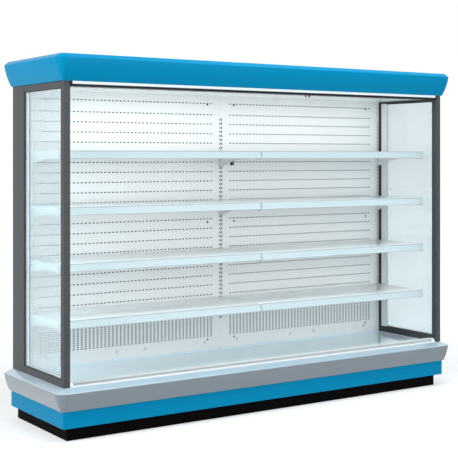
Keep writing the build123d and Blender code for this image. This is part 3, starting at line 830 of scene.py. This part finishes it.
def make_back_panels():
    """The back panels with every dash of their rows and of the lower grille."""
    sizes = settings("fridge_panels")
    top_drop, row_gap, row_pitch, row_count = 0.063, 0.0665, 0.05645, 21
    grille_rise, grille_pitch, grille_count = 0.0895, 0.0121, 10
    screw_drop, screw_middle, screw_rise = 0.007, 1.036, 0.069
    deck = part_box("right_deck_pan")[0].z + SHEET
    top_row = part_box("right_rear_post")[1].z - top_drop
    rows = [(top_row, sizes.dash_height)]
    rows += [(top_row - row_gap - i * row_pitch, sizes.dash_height) for i in range(row_count)]
    rows += [(deck + grille_rise + i * grille_pitch, sizes.grille_height)
             for i in range(grille_count)]
    cuts = sorted((z - height / 2, z + height / 2) for z, height in rows)
    screws = (top_row - screw_drop, screw_middle, deck + screw_rise)
    for name in SIDES:
        low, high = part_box(f"{name}_back_panel")
        dashes = spans(low.x + sizes.row_margin, high.x - sizes.row_margin,
                       (low.x + high.x) / 2, sizes.dash_pitch, sizes.dash_length)
        edges = (low.x, *(edge for dash in dashes for edge in dash), high.x)
        profile = [(x, low.y) for x in edges]
        holed = range(1, len(profile) - 1, 2)
        form = pierced(profile, holed, "z", low.z, high.z, cuts)
        obj = piece(f"{name}_panel", form, "white_paint", nodes=(f"{name}_back_panel",))
        thicken(obj, high.y - low.y, side_offset(obj, 1, 1))
        make_panel_screws(name, low.y, screws)


def make_panel_screws(name, face, heights):
    """The screws of one back panel, in two columns, each with its socket."""
    head_radius, head, socket_radius, socket = 0.0056, 0.0016, 0.0024, 0.0004
    inner_column, outer_column = 0.095, 1.136
    bm = bmesh.new()
    for x in (inner_column, outer_column):
        for z in heights:
            place = SIDES[name] * x
            add_tube(bm, (place, face - head, z), head_radius, "y", head, sides=20)
            add_tube(bm, (place, face - head - socket, z), socket_radius, "y", socket,
                     sides=6)
    piece(f"{name}_panel_screws", bm, "black_plastic")


def make_painted_duct_shade():
    """Painted shade: black sheets on the duct's wall between the uprights, and black strips
    behind the uprights' slots, which darken the dashes and slots as shade would.
    """
    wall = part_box("rear_wall")[0].y
    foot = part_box("left_back_panel")[0].z
    uprights = [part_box(f"{name}_upright") for name in ("left", "centre", "right")]
    gap, front, back = 0.001, wall - 0.001, wall - 0.0002
    strip_inset, strip_near, strip_far = 0.0022, 0.009, 0.010
    places = [
        ((before[1].x + gap, front, foot), (after[0].x - gap, back, before[1].z))
        for before, after in zip(uprights, uprights[1:])
    ]
    places += [
        ((low.x + strip_inset, low.y + strip_near, low.z),
         (high.x - strip_inset, low.y + strip_far, high.z))
        for low, high in uprights
    ]
    piece("duct_lining", boxes(*places), "black_plastic")


def make_glazing_beads():
    """Pale beads on the inner faces of the rear posts, over the edges of the panes."""
    pane_lap, upright_gap, foot_rise, head_drop = 0.033, 0.028, 0.038, 0.034
    near, far = 0.0002, 0.0009
    beads = []
    for name, side in SIDES.items():
        upright, post, rail = (
            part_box(f"{name}_{part}") for part in ("upright", "rear_post", "rails")
        )
        inner = post[0].x if side > 0 else post[1].x
        left, right = sorted((inner - side * near, inner - side * far))
        beads.append(((left, post[0].y - pane_lap, rail[0].z + foot_rise),
                      (right, upright[0].y - upright_gap, rail[1].z - head_drop)))
    piece("glazing_beads", boxes(*beads), "white_paint")


def make_uprights():
    """Slotted uprights with every slot at the usual pitch."""
    sizes = settings("fridge_panels")
    slots_below, slot_count, sheet, deck_gap = 4, 50, 0.002, 0.0005
    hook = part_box("right_shelf_1")[1].z - HOOK_DROPS[0]
    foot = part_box("right_deck_pan")[1].z + deck_gap
    first = hook - slots_below * sizes.slot_pitch
    heights = [first + i * sizes.slot_pitch for i in range(slot_count)]
    cuts = [(z - sizes.slot_height / 2, z + sizes.slot_height / 2) for z in heights]
    for name, columns in (("left", (-1,)), ("centre", (-1, 1)), ("right", (1,))):
        low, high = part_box(f"{name}_upright")
        middle = (low.x + high.x) / 2
        profile = [(low.x, high.y), (low.x, low.y)]
        holed = set()
        for column in columns:
            holed.add(len(profile))
            start = middle + column * SLOT_COLUMN - sizes.slot_width / 2
            profile += [(start, low.y), (start + sizes.slot_width, low.y)]
        profile += [(high.x, low.y), (high.x, high.y)]
        form = pierced(profile, holed, "z", foot, high.z, cuts)
        obj = piece(f"{name}_slotted", form, "white_paint", nodes=(f"{name}_upright",))
        thicken(obj, sheet, INWARD)


def make_ceiling():
    """The softened ceiling panel, and the air outlet's frame."""
    soften_solids(0.0006, "ceiling_panel")
    low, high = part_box("air_outlet_honeycomb")
    border = 0.006
    inner_low = (low.x + border, low.y + border, low.z)
    inner_high = (high.x - border, high.y - border, high.z)
    frame_bars = boxes(
        (low, (high.x, inner_low[1], high.z)),
        ((low.x, inner_high[1], low.z), high),
        ((low.x, inner_low[1], low.z), (inner_low[0], inner_high[1], high.z)),
        ((inner_high[0], inner_low[1], low.z), (high.x, inner_high[1], high.z)),
    )
    piece("outlet_frame", frame_bars, "grey_plastic", bevel=0.0006)
    make_outlet_cells(inner_low, inner_high)


def make_outlet_cells(low, high):
    """The air outlet's six-sided cells, each with three walls of its own."""
    cell = settings("fridge_panels").cell_size
    inset, wall = 0.001, 0.0005
    foot, head = low[2] + inset, high[2] - inset
    reach = cell / math.sqrt(3)
    bm = bmesh.new()
    row = 0
    y = low[1] + cell / 2
    while y < high[1]:
        x = low[0] + cell / 2 + (cell / 2 if row % 2 else 0)
        while x < high[0]:
            ring = []
            for k in range(4):
                turn = math.radians(30 + 60 * k)
                ring.append((min(max(x + reach * math.cos(turn), low[0]), high[0]),
                             min(max(y + reach * math.sin(turn), low[1]), high[1])))
            for a, b in zip(ring, ring[1:]):
                if math.dist(a, b) > cell / 10:
                    corners = ((*a, foot), (*b, foot), (*b, head), (*a, head))
                    bm.faces.new([bm.verts.new(p) for p in corners])
            x += cell
        y += reach * 1.5
        row += 1
    bmesh.ops.remove_doubles(bm, verts=bm.verts, dist=1e-5)
    obj = piece("outlet_cells", bm, "grey_plastic", nodes=("air_outlet_honeycomb",))
    thicken(obj, wall, BOTH_WAYS)


def make_small_parts():
    """Temperature sensor with its louvres, and the clips behind the deck."""
    soften_solids(0.0008, "temperature_sensor")
    soften_solids(0.0004, "deck_clips")
    low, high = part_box("temperature_sensor")
    inset, proud, pitch, height, count = 0.004, 0.0004, 0.0035, 0.0015, 5
    feet = [low.z + inset + i * pitch for i in range(count)]
    louvres = boxes(*(
        ((low.x + inset, low.y - proud, z), (high.x - inset, low.y + proud, z + height))
        for z in feet
    ))
    piece("sensor_louvres", louvres, "grey_plastic")


# ======== shelves and deck ========


def make_shelves():
    """Folded shelf trays with side and front lips, and three ribs under each."""
    fold = settings("fridge_shelves").fold_radius
    rib_half, rib_height, rib_count = 0.012, 0.013, 3
    front_gap, rear_gap, top_gap = 0.002, 0.003, 0.0016
    for level in LEVELS:
        for name in SIDES:
            low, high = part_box(f"{name}_shelf_{level}")
            bm = boxes((low, high))
            bmesh.ops.recalc_face_normals(bm, faces=bm.faces)
            drop = [f for f in bm.faces if f.normal.z < -0.5 or f.normal.y > 0.5]
            bmesh.ops.delete(bm, geom=drop, context="FACES")
            edges = [e for e in bm.edges if len(e.link_faces) == 2]
            bmesh.ops.bevel(bm, geom=edges, offset=fold, segments=3, affect="EDGES",
                            profile=0.5)
            obj = piece(f"{name}_tray_{level}", bm, "white_paint",
                        nodes=(f"{name}_shelf_{level}",))
            thicken(obj, SHEET, INWARD)
            spacing = (high.x - low.x) / (rib_count + 1)
            middles = [low.x + spacing * i for i in range(1, rib_count + 1)]
            ribs = boxes(*(
                ((x - rib_half, low.y + front_gap, high.z - rib_height),
                 (x + rib_half, high.y - rear_gap, high.z - top_gap))
                for x in middles
            ))
            piece(f"{name}_ribs_{level}", ribs, "white_paint", bevel=0.001)


def hook_outline(web, top):
    """A bracket's hook, which passes through the web and drops behind it."""
    reach, throat, length, neck = web + 0.007, web + 0.0023, top - 0.018, top - 0.012
    return [(web, top), (reach, top), (reach, length), (throat, length), (throat, neck),
            (web, neck)]


def make_brackets():
    """Arched gussets with two hooks each."""
    steps = settings("fridge_shelves").arch_steps
    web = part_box("right_upright")[0].y
    half, hook_rise = 0.001, 0.006
    tip_depth, root_depth, arch_depth, arch_reach = 0.050, 0.095, 0.043, 0.314
    for level in LEVELS:
        low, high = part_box(f"shelf_brackets_{level}")
        shelf_low, shelf_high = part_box(f"right_shelf_{level}")
        under, front = shelf_high.z - SHEET, shelf_low.y + SHEET
        tip, root = (front, under - tip_depth), (web, under - root_depth)
        arch = (front_face() + arch_reach, under - arch_depth)
        outline = [tip, (front, under), (web, under), root]
        outline += arc(root, arch, tip, steps)[:-1]
        bm = bmesh.new()
        for x in (-SLOT_COLUMN, SLOT_COLUMN, low.x + half, high.x - half):
            add_prism(bm, outline, "x", x - half, x + half)
            for drop in HOOK_DROPS:
                hook = hook_outline(web, shelf_high.z - drop + hook_rise)
                add_prism(bm, hook, "x", x - half, x + half)
        piece(f"gussets_{level}", bm, "white_paint", nodes=(f"shelf_brackets_{level}",),
              bevel=0.0003)


def make_price_rails():
    """Price rails with a curled lip above and below, a back strip, and thin grey strips of
    painted shade along their top and foot.
    """
    wall, back_wall, face_depth = 0.0015, 0.0012, 0.004
    nose, lip, bead = 0.001, 0.003, 0.004
    for level in LEVELS:
        low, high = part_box(f"price_rails_{level}")
        back, top, foot, out = high.y, high.z, low.z, low.y
        face = back - face_depth
        outline = [
            (back, top), (face - nose, top), (face - nose, top - lip),
            (face + 0.0002, top - bead), (out + 0.0018, foot + 0.005), (out, foot + bead),
            (out, foot), (back, foot), (back, foot + wall), (out + lip, foot + wall),
            (out + lip, foot + bead), (face + 0.0016, top - bead),
            (face + 0.0016, top - wall), (back, top - wall),
        ]
        bm = bmesh.new()
        painted_shade_lines = []
        for name in SIDES:
            start, end = (corner.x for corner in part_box(f"{name}_shelf_{level}"))
            add_prism(bm, outline, "x", start, end)
            add_box(bm, (start, back - back_wall, foot + wall), (end, back, top - wall))
            # Painted shade: thin grey strips along the top of each rail's face and along its
            # foot.
            painted_shade_lines.append(((start, face - 0.0014, top - 0.0028),
                          (end, face - 0.0006, top - 0.0002)))
            painted_shade_lines.append(((start, out - 0.0002, foot + 0.0002),
                          (end, out + 0.0004, foot + 0.0034)))
        piece(f"rails_{level}", bm, "clear_rail", nodes=(f"price_rails_{level}",),
              bevel=0.0003)
        piece(f"rail_lines_{level}", boxes(*painted_shade_lines), "grey_plastic")
        make_rail_clip(level, low, high, face)


def make_rail_clip(level, low, high, face):
    """The clip that joins two price rails, one half on each."""
    half = settings("fridge_shelves").joint_width / 2
    shelf_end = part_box(f"right_shelf_{level}")[0].x
    nose, rise, out = 0.002, high.z + 0.0006, low.y + 0.001
    outline = [
        (high.y, rise), (face - nose, rise), (face - nose, high.z - 0.004),
        (out, low.z + 0.010), (out, low.z + 0.008), (face + nose, high.z - 0.003),
        (high.y, high.z),
    ]
    bm = bmesh.new()
    for x in (-half, shelf_end):
        add_prism(bm, outline, "x", x, x + half - shelf_end)
    piece(f"rail_clip_{level}", bm, "clear_rail")


def make_deck():
    """Deck pans with a rounded front edge and a turned-up rear one."""
    for name in SIDES:
        low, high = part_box(f"{name}_deck_pan")
        deck, fold = low.z + SHEET, high.y - SHEET
        outline = [
            (low.y, low.z), (low.y, deck), (fold, deck), (fold, high.z),
            (high.y, high.z), (high.y, low.z),
        ]
        form = prism(rounded(outline, {1: 0.001, 2: 0.004}), "x", low.x, high.x)
        piece(f"{name}_deck", form, "deck_white", nodes=(f"{name}_deck_pan",))


def make_comb():
    """The comb of the return grille, slit over its slope and its top."""
    sizes = settings("fridge_panels")
    low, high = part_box("return_air_grille")
    front = front_face()
    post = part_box("right_front_post")[0].z
    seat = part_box("right_deck_pan")[0]
    foot = (front + 0.010, post + SHEET)
    head = (front + 0.024, post + 0.020)
    lip, fold_start, fold_end = front + 0.001, front + 0.052, front + 0.056
    step, tuck, overlap, margin = 0.002, 0.001, 0.018, 0.02
    near, far = (
        tuple(a + (b - a) * share for a, b in zip(foot, head)) for share in (0.10, 0.92)
    )
    profile = [
        (lip, foot[1]), foot, near, far, head, (head[0] + step, head[1]),
        (fold_start, head[1]), (fold_end, head[1]), (seat.y - tuck, seat.z),
        (seat.y + overlap, seat.z),
    ]
    slope, top = 2, 5
    cuts = spans(low.x + margin, high.x - margin, 0.0, sizes.slit_pitch, sizes.slit_width)
    form = pierced(profile, (slope, top), "x", low.x, high.x, cuts)
    obj = piece("comb", form, "white_paint", nodes=("return_air_grille",))
    thicken(obj, SHEET, side_offset(obj, 2, -1))
    # Painted shade under the comb's slits.
    make_comb_painted_shade(low, high, head)


def make_comb_painted_shade(low, high, head):
    """Painted shade: black sheets under the comb's top and slope, in place of the shade in the
    dark channel, so that the slits look dark.
    """
    front = front_face()
    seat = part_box("right_deck_pan")[0]
    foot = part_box("right_front_post")[0].z
    gap, thick, clear = 0.001, 0.0004, 0.002
    under, start, fold = head[1] - SHEET - thick, head[0] + clear, front + 0.0551
    rest_near, rest_far = seat.y - 0.0030, seat.y - 0.0025
    outline = [
        (start, under), (fold, under), (rest_far, seat.z + clear),
        (rest_near, seat.z + clear), (fold - thick, under - thick), (start, under - thick),
    ]
    bm = prism(outline, "x", low.x + gap, high.x - gap)
    slope_near, slope_far, slope_foot = front + 0.0105, front + 0.0298, foot + 0.0002
    add_box(bm, (low.x + gap, slope_near, slope_foot),
            (high.x - gap, slope_far, slope_foot + thick))
    piece("comb_lining", bm, "black_plastic")


# ======== lamp, blind, fans and coil ========


def make_lamp():
    """Opal tube between its two dark holders."""
    low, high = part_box("lamp_tube")
    corner = 0.0055
    outline = rounded(
        [(low.y, high.z), (low.y, low.z), (high.y, low.z), (high.y, high.z)],
        {1: corner, 2: corner}, steps=6,
    )
    form = prism(outline, "x", low.x, high.x)
    piece("diffuser", form, "lamp_diffuser", nodes=("lamp_tube",))
    soften_solids(0.001, "lamp_holders")


def make_blind():
    """Softened brackets and pull bar, and the roll of cloth on its pins."""
    soften_solids(0.0006, "blind_brackets", "blind_bar")
    low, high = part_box("blind_roller")
    y, z = (low.y + high.y) / 2, (low.z + high.z) / 2
    radius = (high.z - low.z) / 2
    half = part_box("lamp_tube")[1].x
    hem = settings("fridge_blind").hem
    pin_radius, turns, stagger = 0.005, 6, 0.0006
    bm = bmesh.new()
    add_tube(bm, (-high.x, y, z), pin_radius, "x", 2 * high.x, sides=24)
    for i in range(turns):
        end = half - stagger * (i + 1)
        add_tube(bm, (-end, y, z), radius - i * hem, "x", 2 * end, sides=64)
    piece("blind_roll", bm, "blind_cloth", body="blind_roller", nodes=("blind_roller",),
          sharp=20)
    make_blind_sheet()


def make_blind_sheet():
    """The cloth from the roll to the bar, as a flat mesh of rows."""
    low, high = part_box("blind_curtain")
    middle = (low.y + high.y) / 2
    width, height = high.x - low.x, high.z - low.z
    rows, columns = settings("fridge_blind").rows, 12
    bm = bmesh.new()
    add_grid(bm, [
        [bm.verts.new((low.x + width * i / columns, middle, low.z + height * j / rows))
         for i in range(columns + 1)]
        for j in range(rows + 1)
    ])
    mesh = from_bmesh("blind_sheet", bm)
    mesh.shade_smooth()
    mesh.materials.append(finish("blind_cloth"))
    obj = add_object("blind_sheet", mesh)
    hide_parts("blind_curtain")
    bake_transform(obj)


def make_fans():
    """Pressed fan blades on their hubs, and the softened motors and coil."""
    hub_radius, hub_length, bore, blade_count = 0.0188, 0.022, 0.00405, 5
    for fan in (1, 2, 3):
        low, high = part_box(f"fan_blades_{fan}")
        x, y, z = ((a + b) / 2 for a, b in zip(low, high))
        bm = bmesh.new()
        add_tube(bm, (x, y - hub_length / 2, z), hub_radius, "y", hub_length, bore=bore)
        for blade in range(blade_count):
            add_blade(bm, x, y, z, 2 * math.pi * blade / blade_count)
        piece(f"fan_{fan}_rotor", bm, "fan_aluminium", body=f"fan_{fan}",
              nodes=(f"fan_blades_{fan}",), bevel=0.0002)
    soften_solids(0.0006, "fan_motors", "evaporator_coil")


def add_blade(bm, x, y, z, turn):
    """One blade: a thin leaf that widens to its tip and is pitched to the hub."""
    ring_count, chord_steps = 7, 5
    root, tip, half_sheet = 0.0180, 0.0625, 0.001
    root_chord, widening, tip_start, tip_cut = 0.026, 0.018, 0.85, 0.010
    pitch = math.radians(28)
    rows = []
    for i in range(ring_count + 1):
        t = i / ring_count
        chord = root_chord + widening * math.sin(math.pi / 2 * t)
        if t > tip_start:
            chord -= tip_cut * (t - tip_start) / (1 - tip_start)
        reach = root + (tip - root) * t
        rows.append([(reach, chord * (k / chord_steps - 0.5)) for k in range(chord_steps + 1)])
    sheets = []
    for offset in (-half_sheet, half_sheet):
        sheet = []
        for row in rows:
            line = []
            for reach, c in row:
                across, depth = c * math.cos(pitch), c * math.sin(pitch)
                px = reach * math.cos(turn) - across * math.sin(turn)
                pz = reach * math.sin(turn) + across * math.cos(turn)
                line.append(bm.verts.new((x + px, y + depth + offset, z + pz)))
            sheet.append(line)
        sheets.append(sheet)
    for sheet in sheets:
        add_grid(bm, sheet)
    rim = (
        [(i, 0) for i in range(ring_count + 1)]
        + [(ring_count, k) for k in range(1, chord_steps + 1)]
        + [(i, chord_steps) for i in range(ring_count - 1, -1, -1)]
        + [(0, k) for k in range(chord_steps - 1, 0, -1)]
    )
    add_band(bm, *([sheet[i][k] for i, k in rim] for sheet in sheets))


# ======== stage ========


def seen_rays(nodes, links):
    """The share of a ray that shows the background: seen, mirrored or through glass."""
    path = nodes.new("ShaderNodeLightPath")
    value = path.outputs["Is Camera Ray"]
    for kind in ("Is Glossy Ray", "Is Transmission Ray"):
        more = nodes.new("ShaderNodeMath")
        more.operation = "MAXIMUM"
        links.new(value, more.inputs[0])
        links.new(path.outputs[kind], more.inputs[1])
        value = more.outputs[0]
    return value


def make_world():
    """White where it is seen, softer as a light."""
    world = bpy.data.worlds.new("studio")
    bpy.context.scene.world = world
    world.use_nodes = True
    nodes, links = world.node_tree.nodes, world.node_tree.links
    nodes.clear()
    plain = nodes.new("ShaderNodeBackground")
    plain.inputs["Color"].default_value = (1, 1, 1, 1)
    plain.inputs["Strength"].default_value = 1.0
    soft = nodes.new("ShaderNodeBackground")
    soft.inputs["Color"].default_value = (0.84, 0.95, 1.0, 1)
    soft.inputs["Strength"].default_value = settings("fridge_stage").ambient
    mix = nodes.new("ShaderNodeMixShader")
    links.new(seen_rays(nodes, links), mix.inputs["Fac"])
    links.new(soft.outputs[0], mix.inputs[1])
    links.new(plain.outputs[0], mix.inputs[2])
    output = nodes.new("ShaderNodeOutputWorld")
    links.new(mix.outputs[0], output.inputs["Surface"])


def make_floor():
    """Pale floor that keeps a soft shadow, and glows where it is seen."""
    half, near, far, far_glow = 30, 1.8, 5.0, 0.78
    corners = [(-half, -half, 0), (half, -half, 0), (half, half, 0), (-half, half, 0)]
    mesh = bpy.data.meshes.new("floor")
    mesh.from_pydata(corners, [], [(0, 1, 2, 3)])
    floor = add_object("floor", mesh)
    material = bpy.data.materials.new("floor")
    material.use_nodes = True
    nodes, links = material.node_tree.nodes, material.node_tree.links
    sockets = nodes["Principled BSDF"].inputs
    sockets["Base Color"].default_value = (0.6, 0.6, 0.6, 1)
    sockets["Roughness"].default_value = 0.9
    sockets["Specular IOR Level"].default_value = 0.0
    sockets["Emission Color"].default_value = (1, 1, 1, 1)
    place = nodes.new("ShaderNodeTexCoord")
    reach = nodes.new("ShaderNodeVectorMath")
    reach.operation = "LENGTH"
    links.new(place.outputs["Object"], reach.inputs[0])
    ramp = nodes.new("ShaderNodeMapRange")
    ramp.inputs["From Min"].default_value = near
    ramp.inputs["From Max"].default_value = far
    ramp.inputs["To Min"].default_value = settings("fridge_stage").floor
    ramp.inputs["To Max"].default_value = far_glow
    links.new(reach.outputs["Value"], ramp.inputs["Value"])
    lift = nodes.new("ShaderNodeMath")
    lift.operation = "MULTIPLY"
    links.new(ramp.outputs["Result"], lift.inputs[1])
    links.new(seen_rays(nodes, links), lift.inputs[0])
    links.new(lift.outputs[0], sockets["Emission Strength"])
    mesh.materials.append(material)


def make_light(name, size, place, aim, colour=(1, 1, 1)):
    """A soft rectangular light that looks at a point, at the power of its setting."""
    light = bpy.data.lights.new(name, "AREA")
    light.shape = "RECTANGLE"
    light.size, light.size_y = size
    light.energy = getattr(settings("fridge_stage"), name)
    light.color = colour
    obj = add_object(name, light)
    obj.location = place
    x, y, z = (b - a for a, b in zip(place, aim))
    obj.rotation_euler = (math.atan2(math.hypot(x, y), -z), 0, math.atan2(y, x) - math.pi / 2)
    obj.visible_camera = False
    return obj


def make_lights():
    """A large front light, a side light, a top light and the strip under the canopy."""
    make_light("key", (6.0, 3.0), (0.7, -6.0, 1.9), (0.4, 0, 1.0))
    make_light("side", (3.0, 3.0), (-5.5, -0.6, 2.6), (0, 0, 0.9))
    make_light("top", (4.4, 1.4), (0.4, -1.4, 4.6), (0.2, -0.4, 0.3), (0.88, 0.96, 1.0))
    under_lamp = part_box("lamp_tube")[0].z - 0.02
    inner = make_light("inner", (2.3, 0.1), (0, -0.06, under_lamp), (0, 0, 0),
                       (1.0, 0.985, 0.95))
    inner.visible_glossy = False


def make_camera():
    """The photograph's viewpoint, and the plain view transform."""
    data = bpy.data.cameras.new("camera")
    data.lens = settings("fridge_stage").lens
    data.sensor_width = 36
    data.shift_x, data.shift_y = -0.001, -0.1595
    camera = add_object("camera", data)
    camera.location = (-3.6943, -5.3978, 1.4305)
    camera.rotation_euler = (math.radians(90), 0, math.radians(-33.67))
    bpy.context.scene.camera = camera
    bpy.context.scene.view_settings.view_transform = "Standard"


def paint_cad():
    """Gives each CAD solid the finish of its slot."""
    for part in frame["record"]["subparts"]:
        obj = frame["nodes"][part["node"]]
        obj.data.materials.clear()
        obj.data.materials.append(finish(part["material_slot"]))


# ======== operators ========


class FRIDGE_OT_paint(bpy.types.Operator):
    """Paint the CAD solids with the finishes of their slots"""

    bl_idname = "fridge.paint"
    bl_label = "Finishes"

    def execute(self, context):
        paint_cad()
        return {"FINISHED"}


class FRIDGE_OT_body_work(bpy.types.Operator):
    """Make the canopy, bumper and skirt"""

    bl_idname = "fridge.body_work"
    bl_label = "Canopy, bumper and skirt"

    def execute(self, context):
        make_canopy()
        make_bumper()
        make_skirt()
        return {"FINISHED"}


class FRIDGE_OT_shell(bpy.types.Operator):
    """Make the base, rear wall and roof"""

    bl_idname = "fridge.shell"
    bl_label = "Base and shell"

    def execute(self, context):
        make_base()
        make_shell()
        return {"FINISHED"}


class FRIDGE_OT_end_frames(bpy.types.Operator):
    """Make the glazed end frames"""

    bl_idname = "fridge.end_frames"
    bl_label = "End frames"

    def execute(self, context):
        make_end_frames()
        return {"FINISHED"}


class FRIDGE_OT_interior(bpy.types.Operator):
    """Make the back panels, uprights, ceiling and small parts"""

    bl_idname = "fridge.interior"
    bl_label = "Interior"

    def execute(self, context):
        make_back_panels()
        # Painted shade behind the panels' dashes and the uprights' slots.
        make_painted_duct_shade()
        make_glazing_beads()
        make_uprights()
        make_ceiling()
        make_small_parts()
        return {"FINISHED"}


class FRIDGE_OT_shelves(bpy.types.Operator):
    """Make the shelves, brackets and price rails"""

    bl_idname = "fridge.shelves"
    bl_label = "Shelves"

    def execute(self, context):
        make_shelves()
        make_brackets()
        make_price_rails()
        return {"FINISHED"}


class FRIDGE_OT_deck(bpy.types.Operator):
    """Make the deck pans and the return air grille"""

    bl_idname = "fridge.deck"
    bl_label = "Deck"

    def execute(self, context):
        make_deck()
        make_comb()
        return {"FINISHED"}


class FRIDGE_OT_lamp(bpy.types.Operator):
    """Make the lamp"""

    bl_idname = "fridge.lamp"
    bl_label = "Lamp"

    def execute(self, context):
        make_lamp()
        return {"FINISHED"}


class FRIDGE_OT_blind(bpy.types.Operator):
    """Make the night blind"""

    bl_idname = "fridge.blind"
    bl_label = "Night blind"

    def execute(self, context):
        make_blind()
        return {"FINISHED"}


class FRIDGE_OT_fans(bpy.types.Operator):
    """Make the fans"""

    bl_idname = "fridge.fans"
    bl_label = "Fans"

    def execute(self, context):
        make_fans()
        return {"FINISHED"}


class FRIDGE_OT_stage(bpy.types.Operator):
    """Set up the floor, lights and camera"""

    bl_idname = "fridge.stage"
    bl_label = "Stage"

    def execute(self, context):
        make_world()
        make_floor()
        make_lights()
        make_camera()
        return {"FINISHED"}


OPERATORS = (
    FRIDGE_OT_paint, FRIDGE_OT_body_work, FRIDGE_OT_shell, FRIDGE_OT_end_frames,
    FRIDGE_OT_interior, FRIDGE_OT_shelves, FRIDGE_OT_deck, FRIDGE_OT_lamp,
    FRIDGE_OT_blind, FRIDGE_OT_fans, FRIDGE_OT_stage,
)


class FRIDGE_PT_panel(bpy.types.Panel):
    """The fridge's steps and settings"""

    bl_idname = "FRIDGE_PT_panel"
    bl_label = "Display fridge"
    bl_space_type = "VIEW_3D"
    bl_region_type = "UI"
    bl_category = "Fridge"

    def draw(self, context):
        for operator in OPERATORS:
            self.layout.operator(operator.bl_idname)
        for name, group in GROUPS.items():
            for setting in group.__annotations__:
                self.layout.prop(getattr(context.scene, name), setting)


CLASSES = (*GROUPS.values(), *OPERATORS, FRIDGE_PT_panel)


def register():
    """Adds the classes and the scene's settings."""
    for cls in CLASSES:
        bpy.utils.register_class(cls)
    for name, group in GROUPS.items():
        setattr(bpy.types.Scene, name, PointerProperty(type=group))


def unregister():
    """Takes them out again."""
    for name in GROUPS:
        delattr(bpy.types.Scene, name)
    for cls in reversed(CLASSES):
        bpy.utils.unregister_class(cls)


def main():
    """Registers the add-on and runs its steps in order."""
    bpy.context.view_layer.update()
    register()
    for operator in OPERATORS:
        group, name = operator.bl_idname.split(".")
        getattr(getattr(bpy.ops, group), name)()
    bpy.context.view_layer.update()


if __name__ == "__main__":
    main()
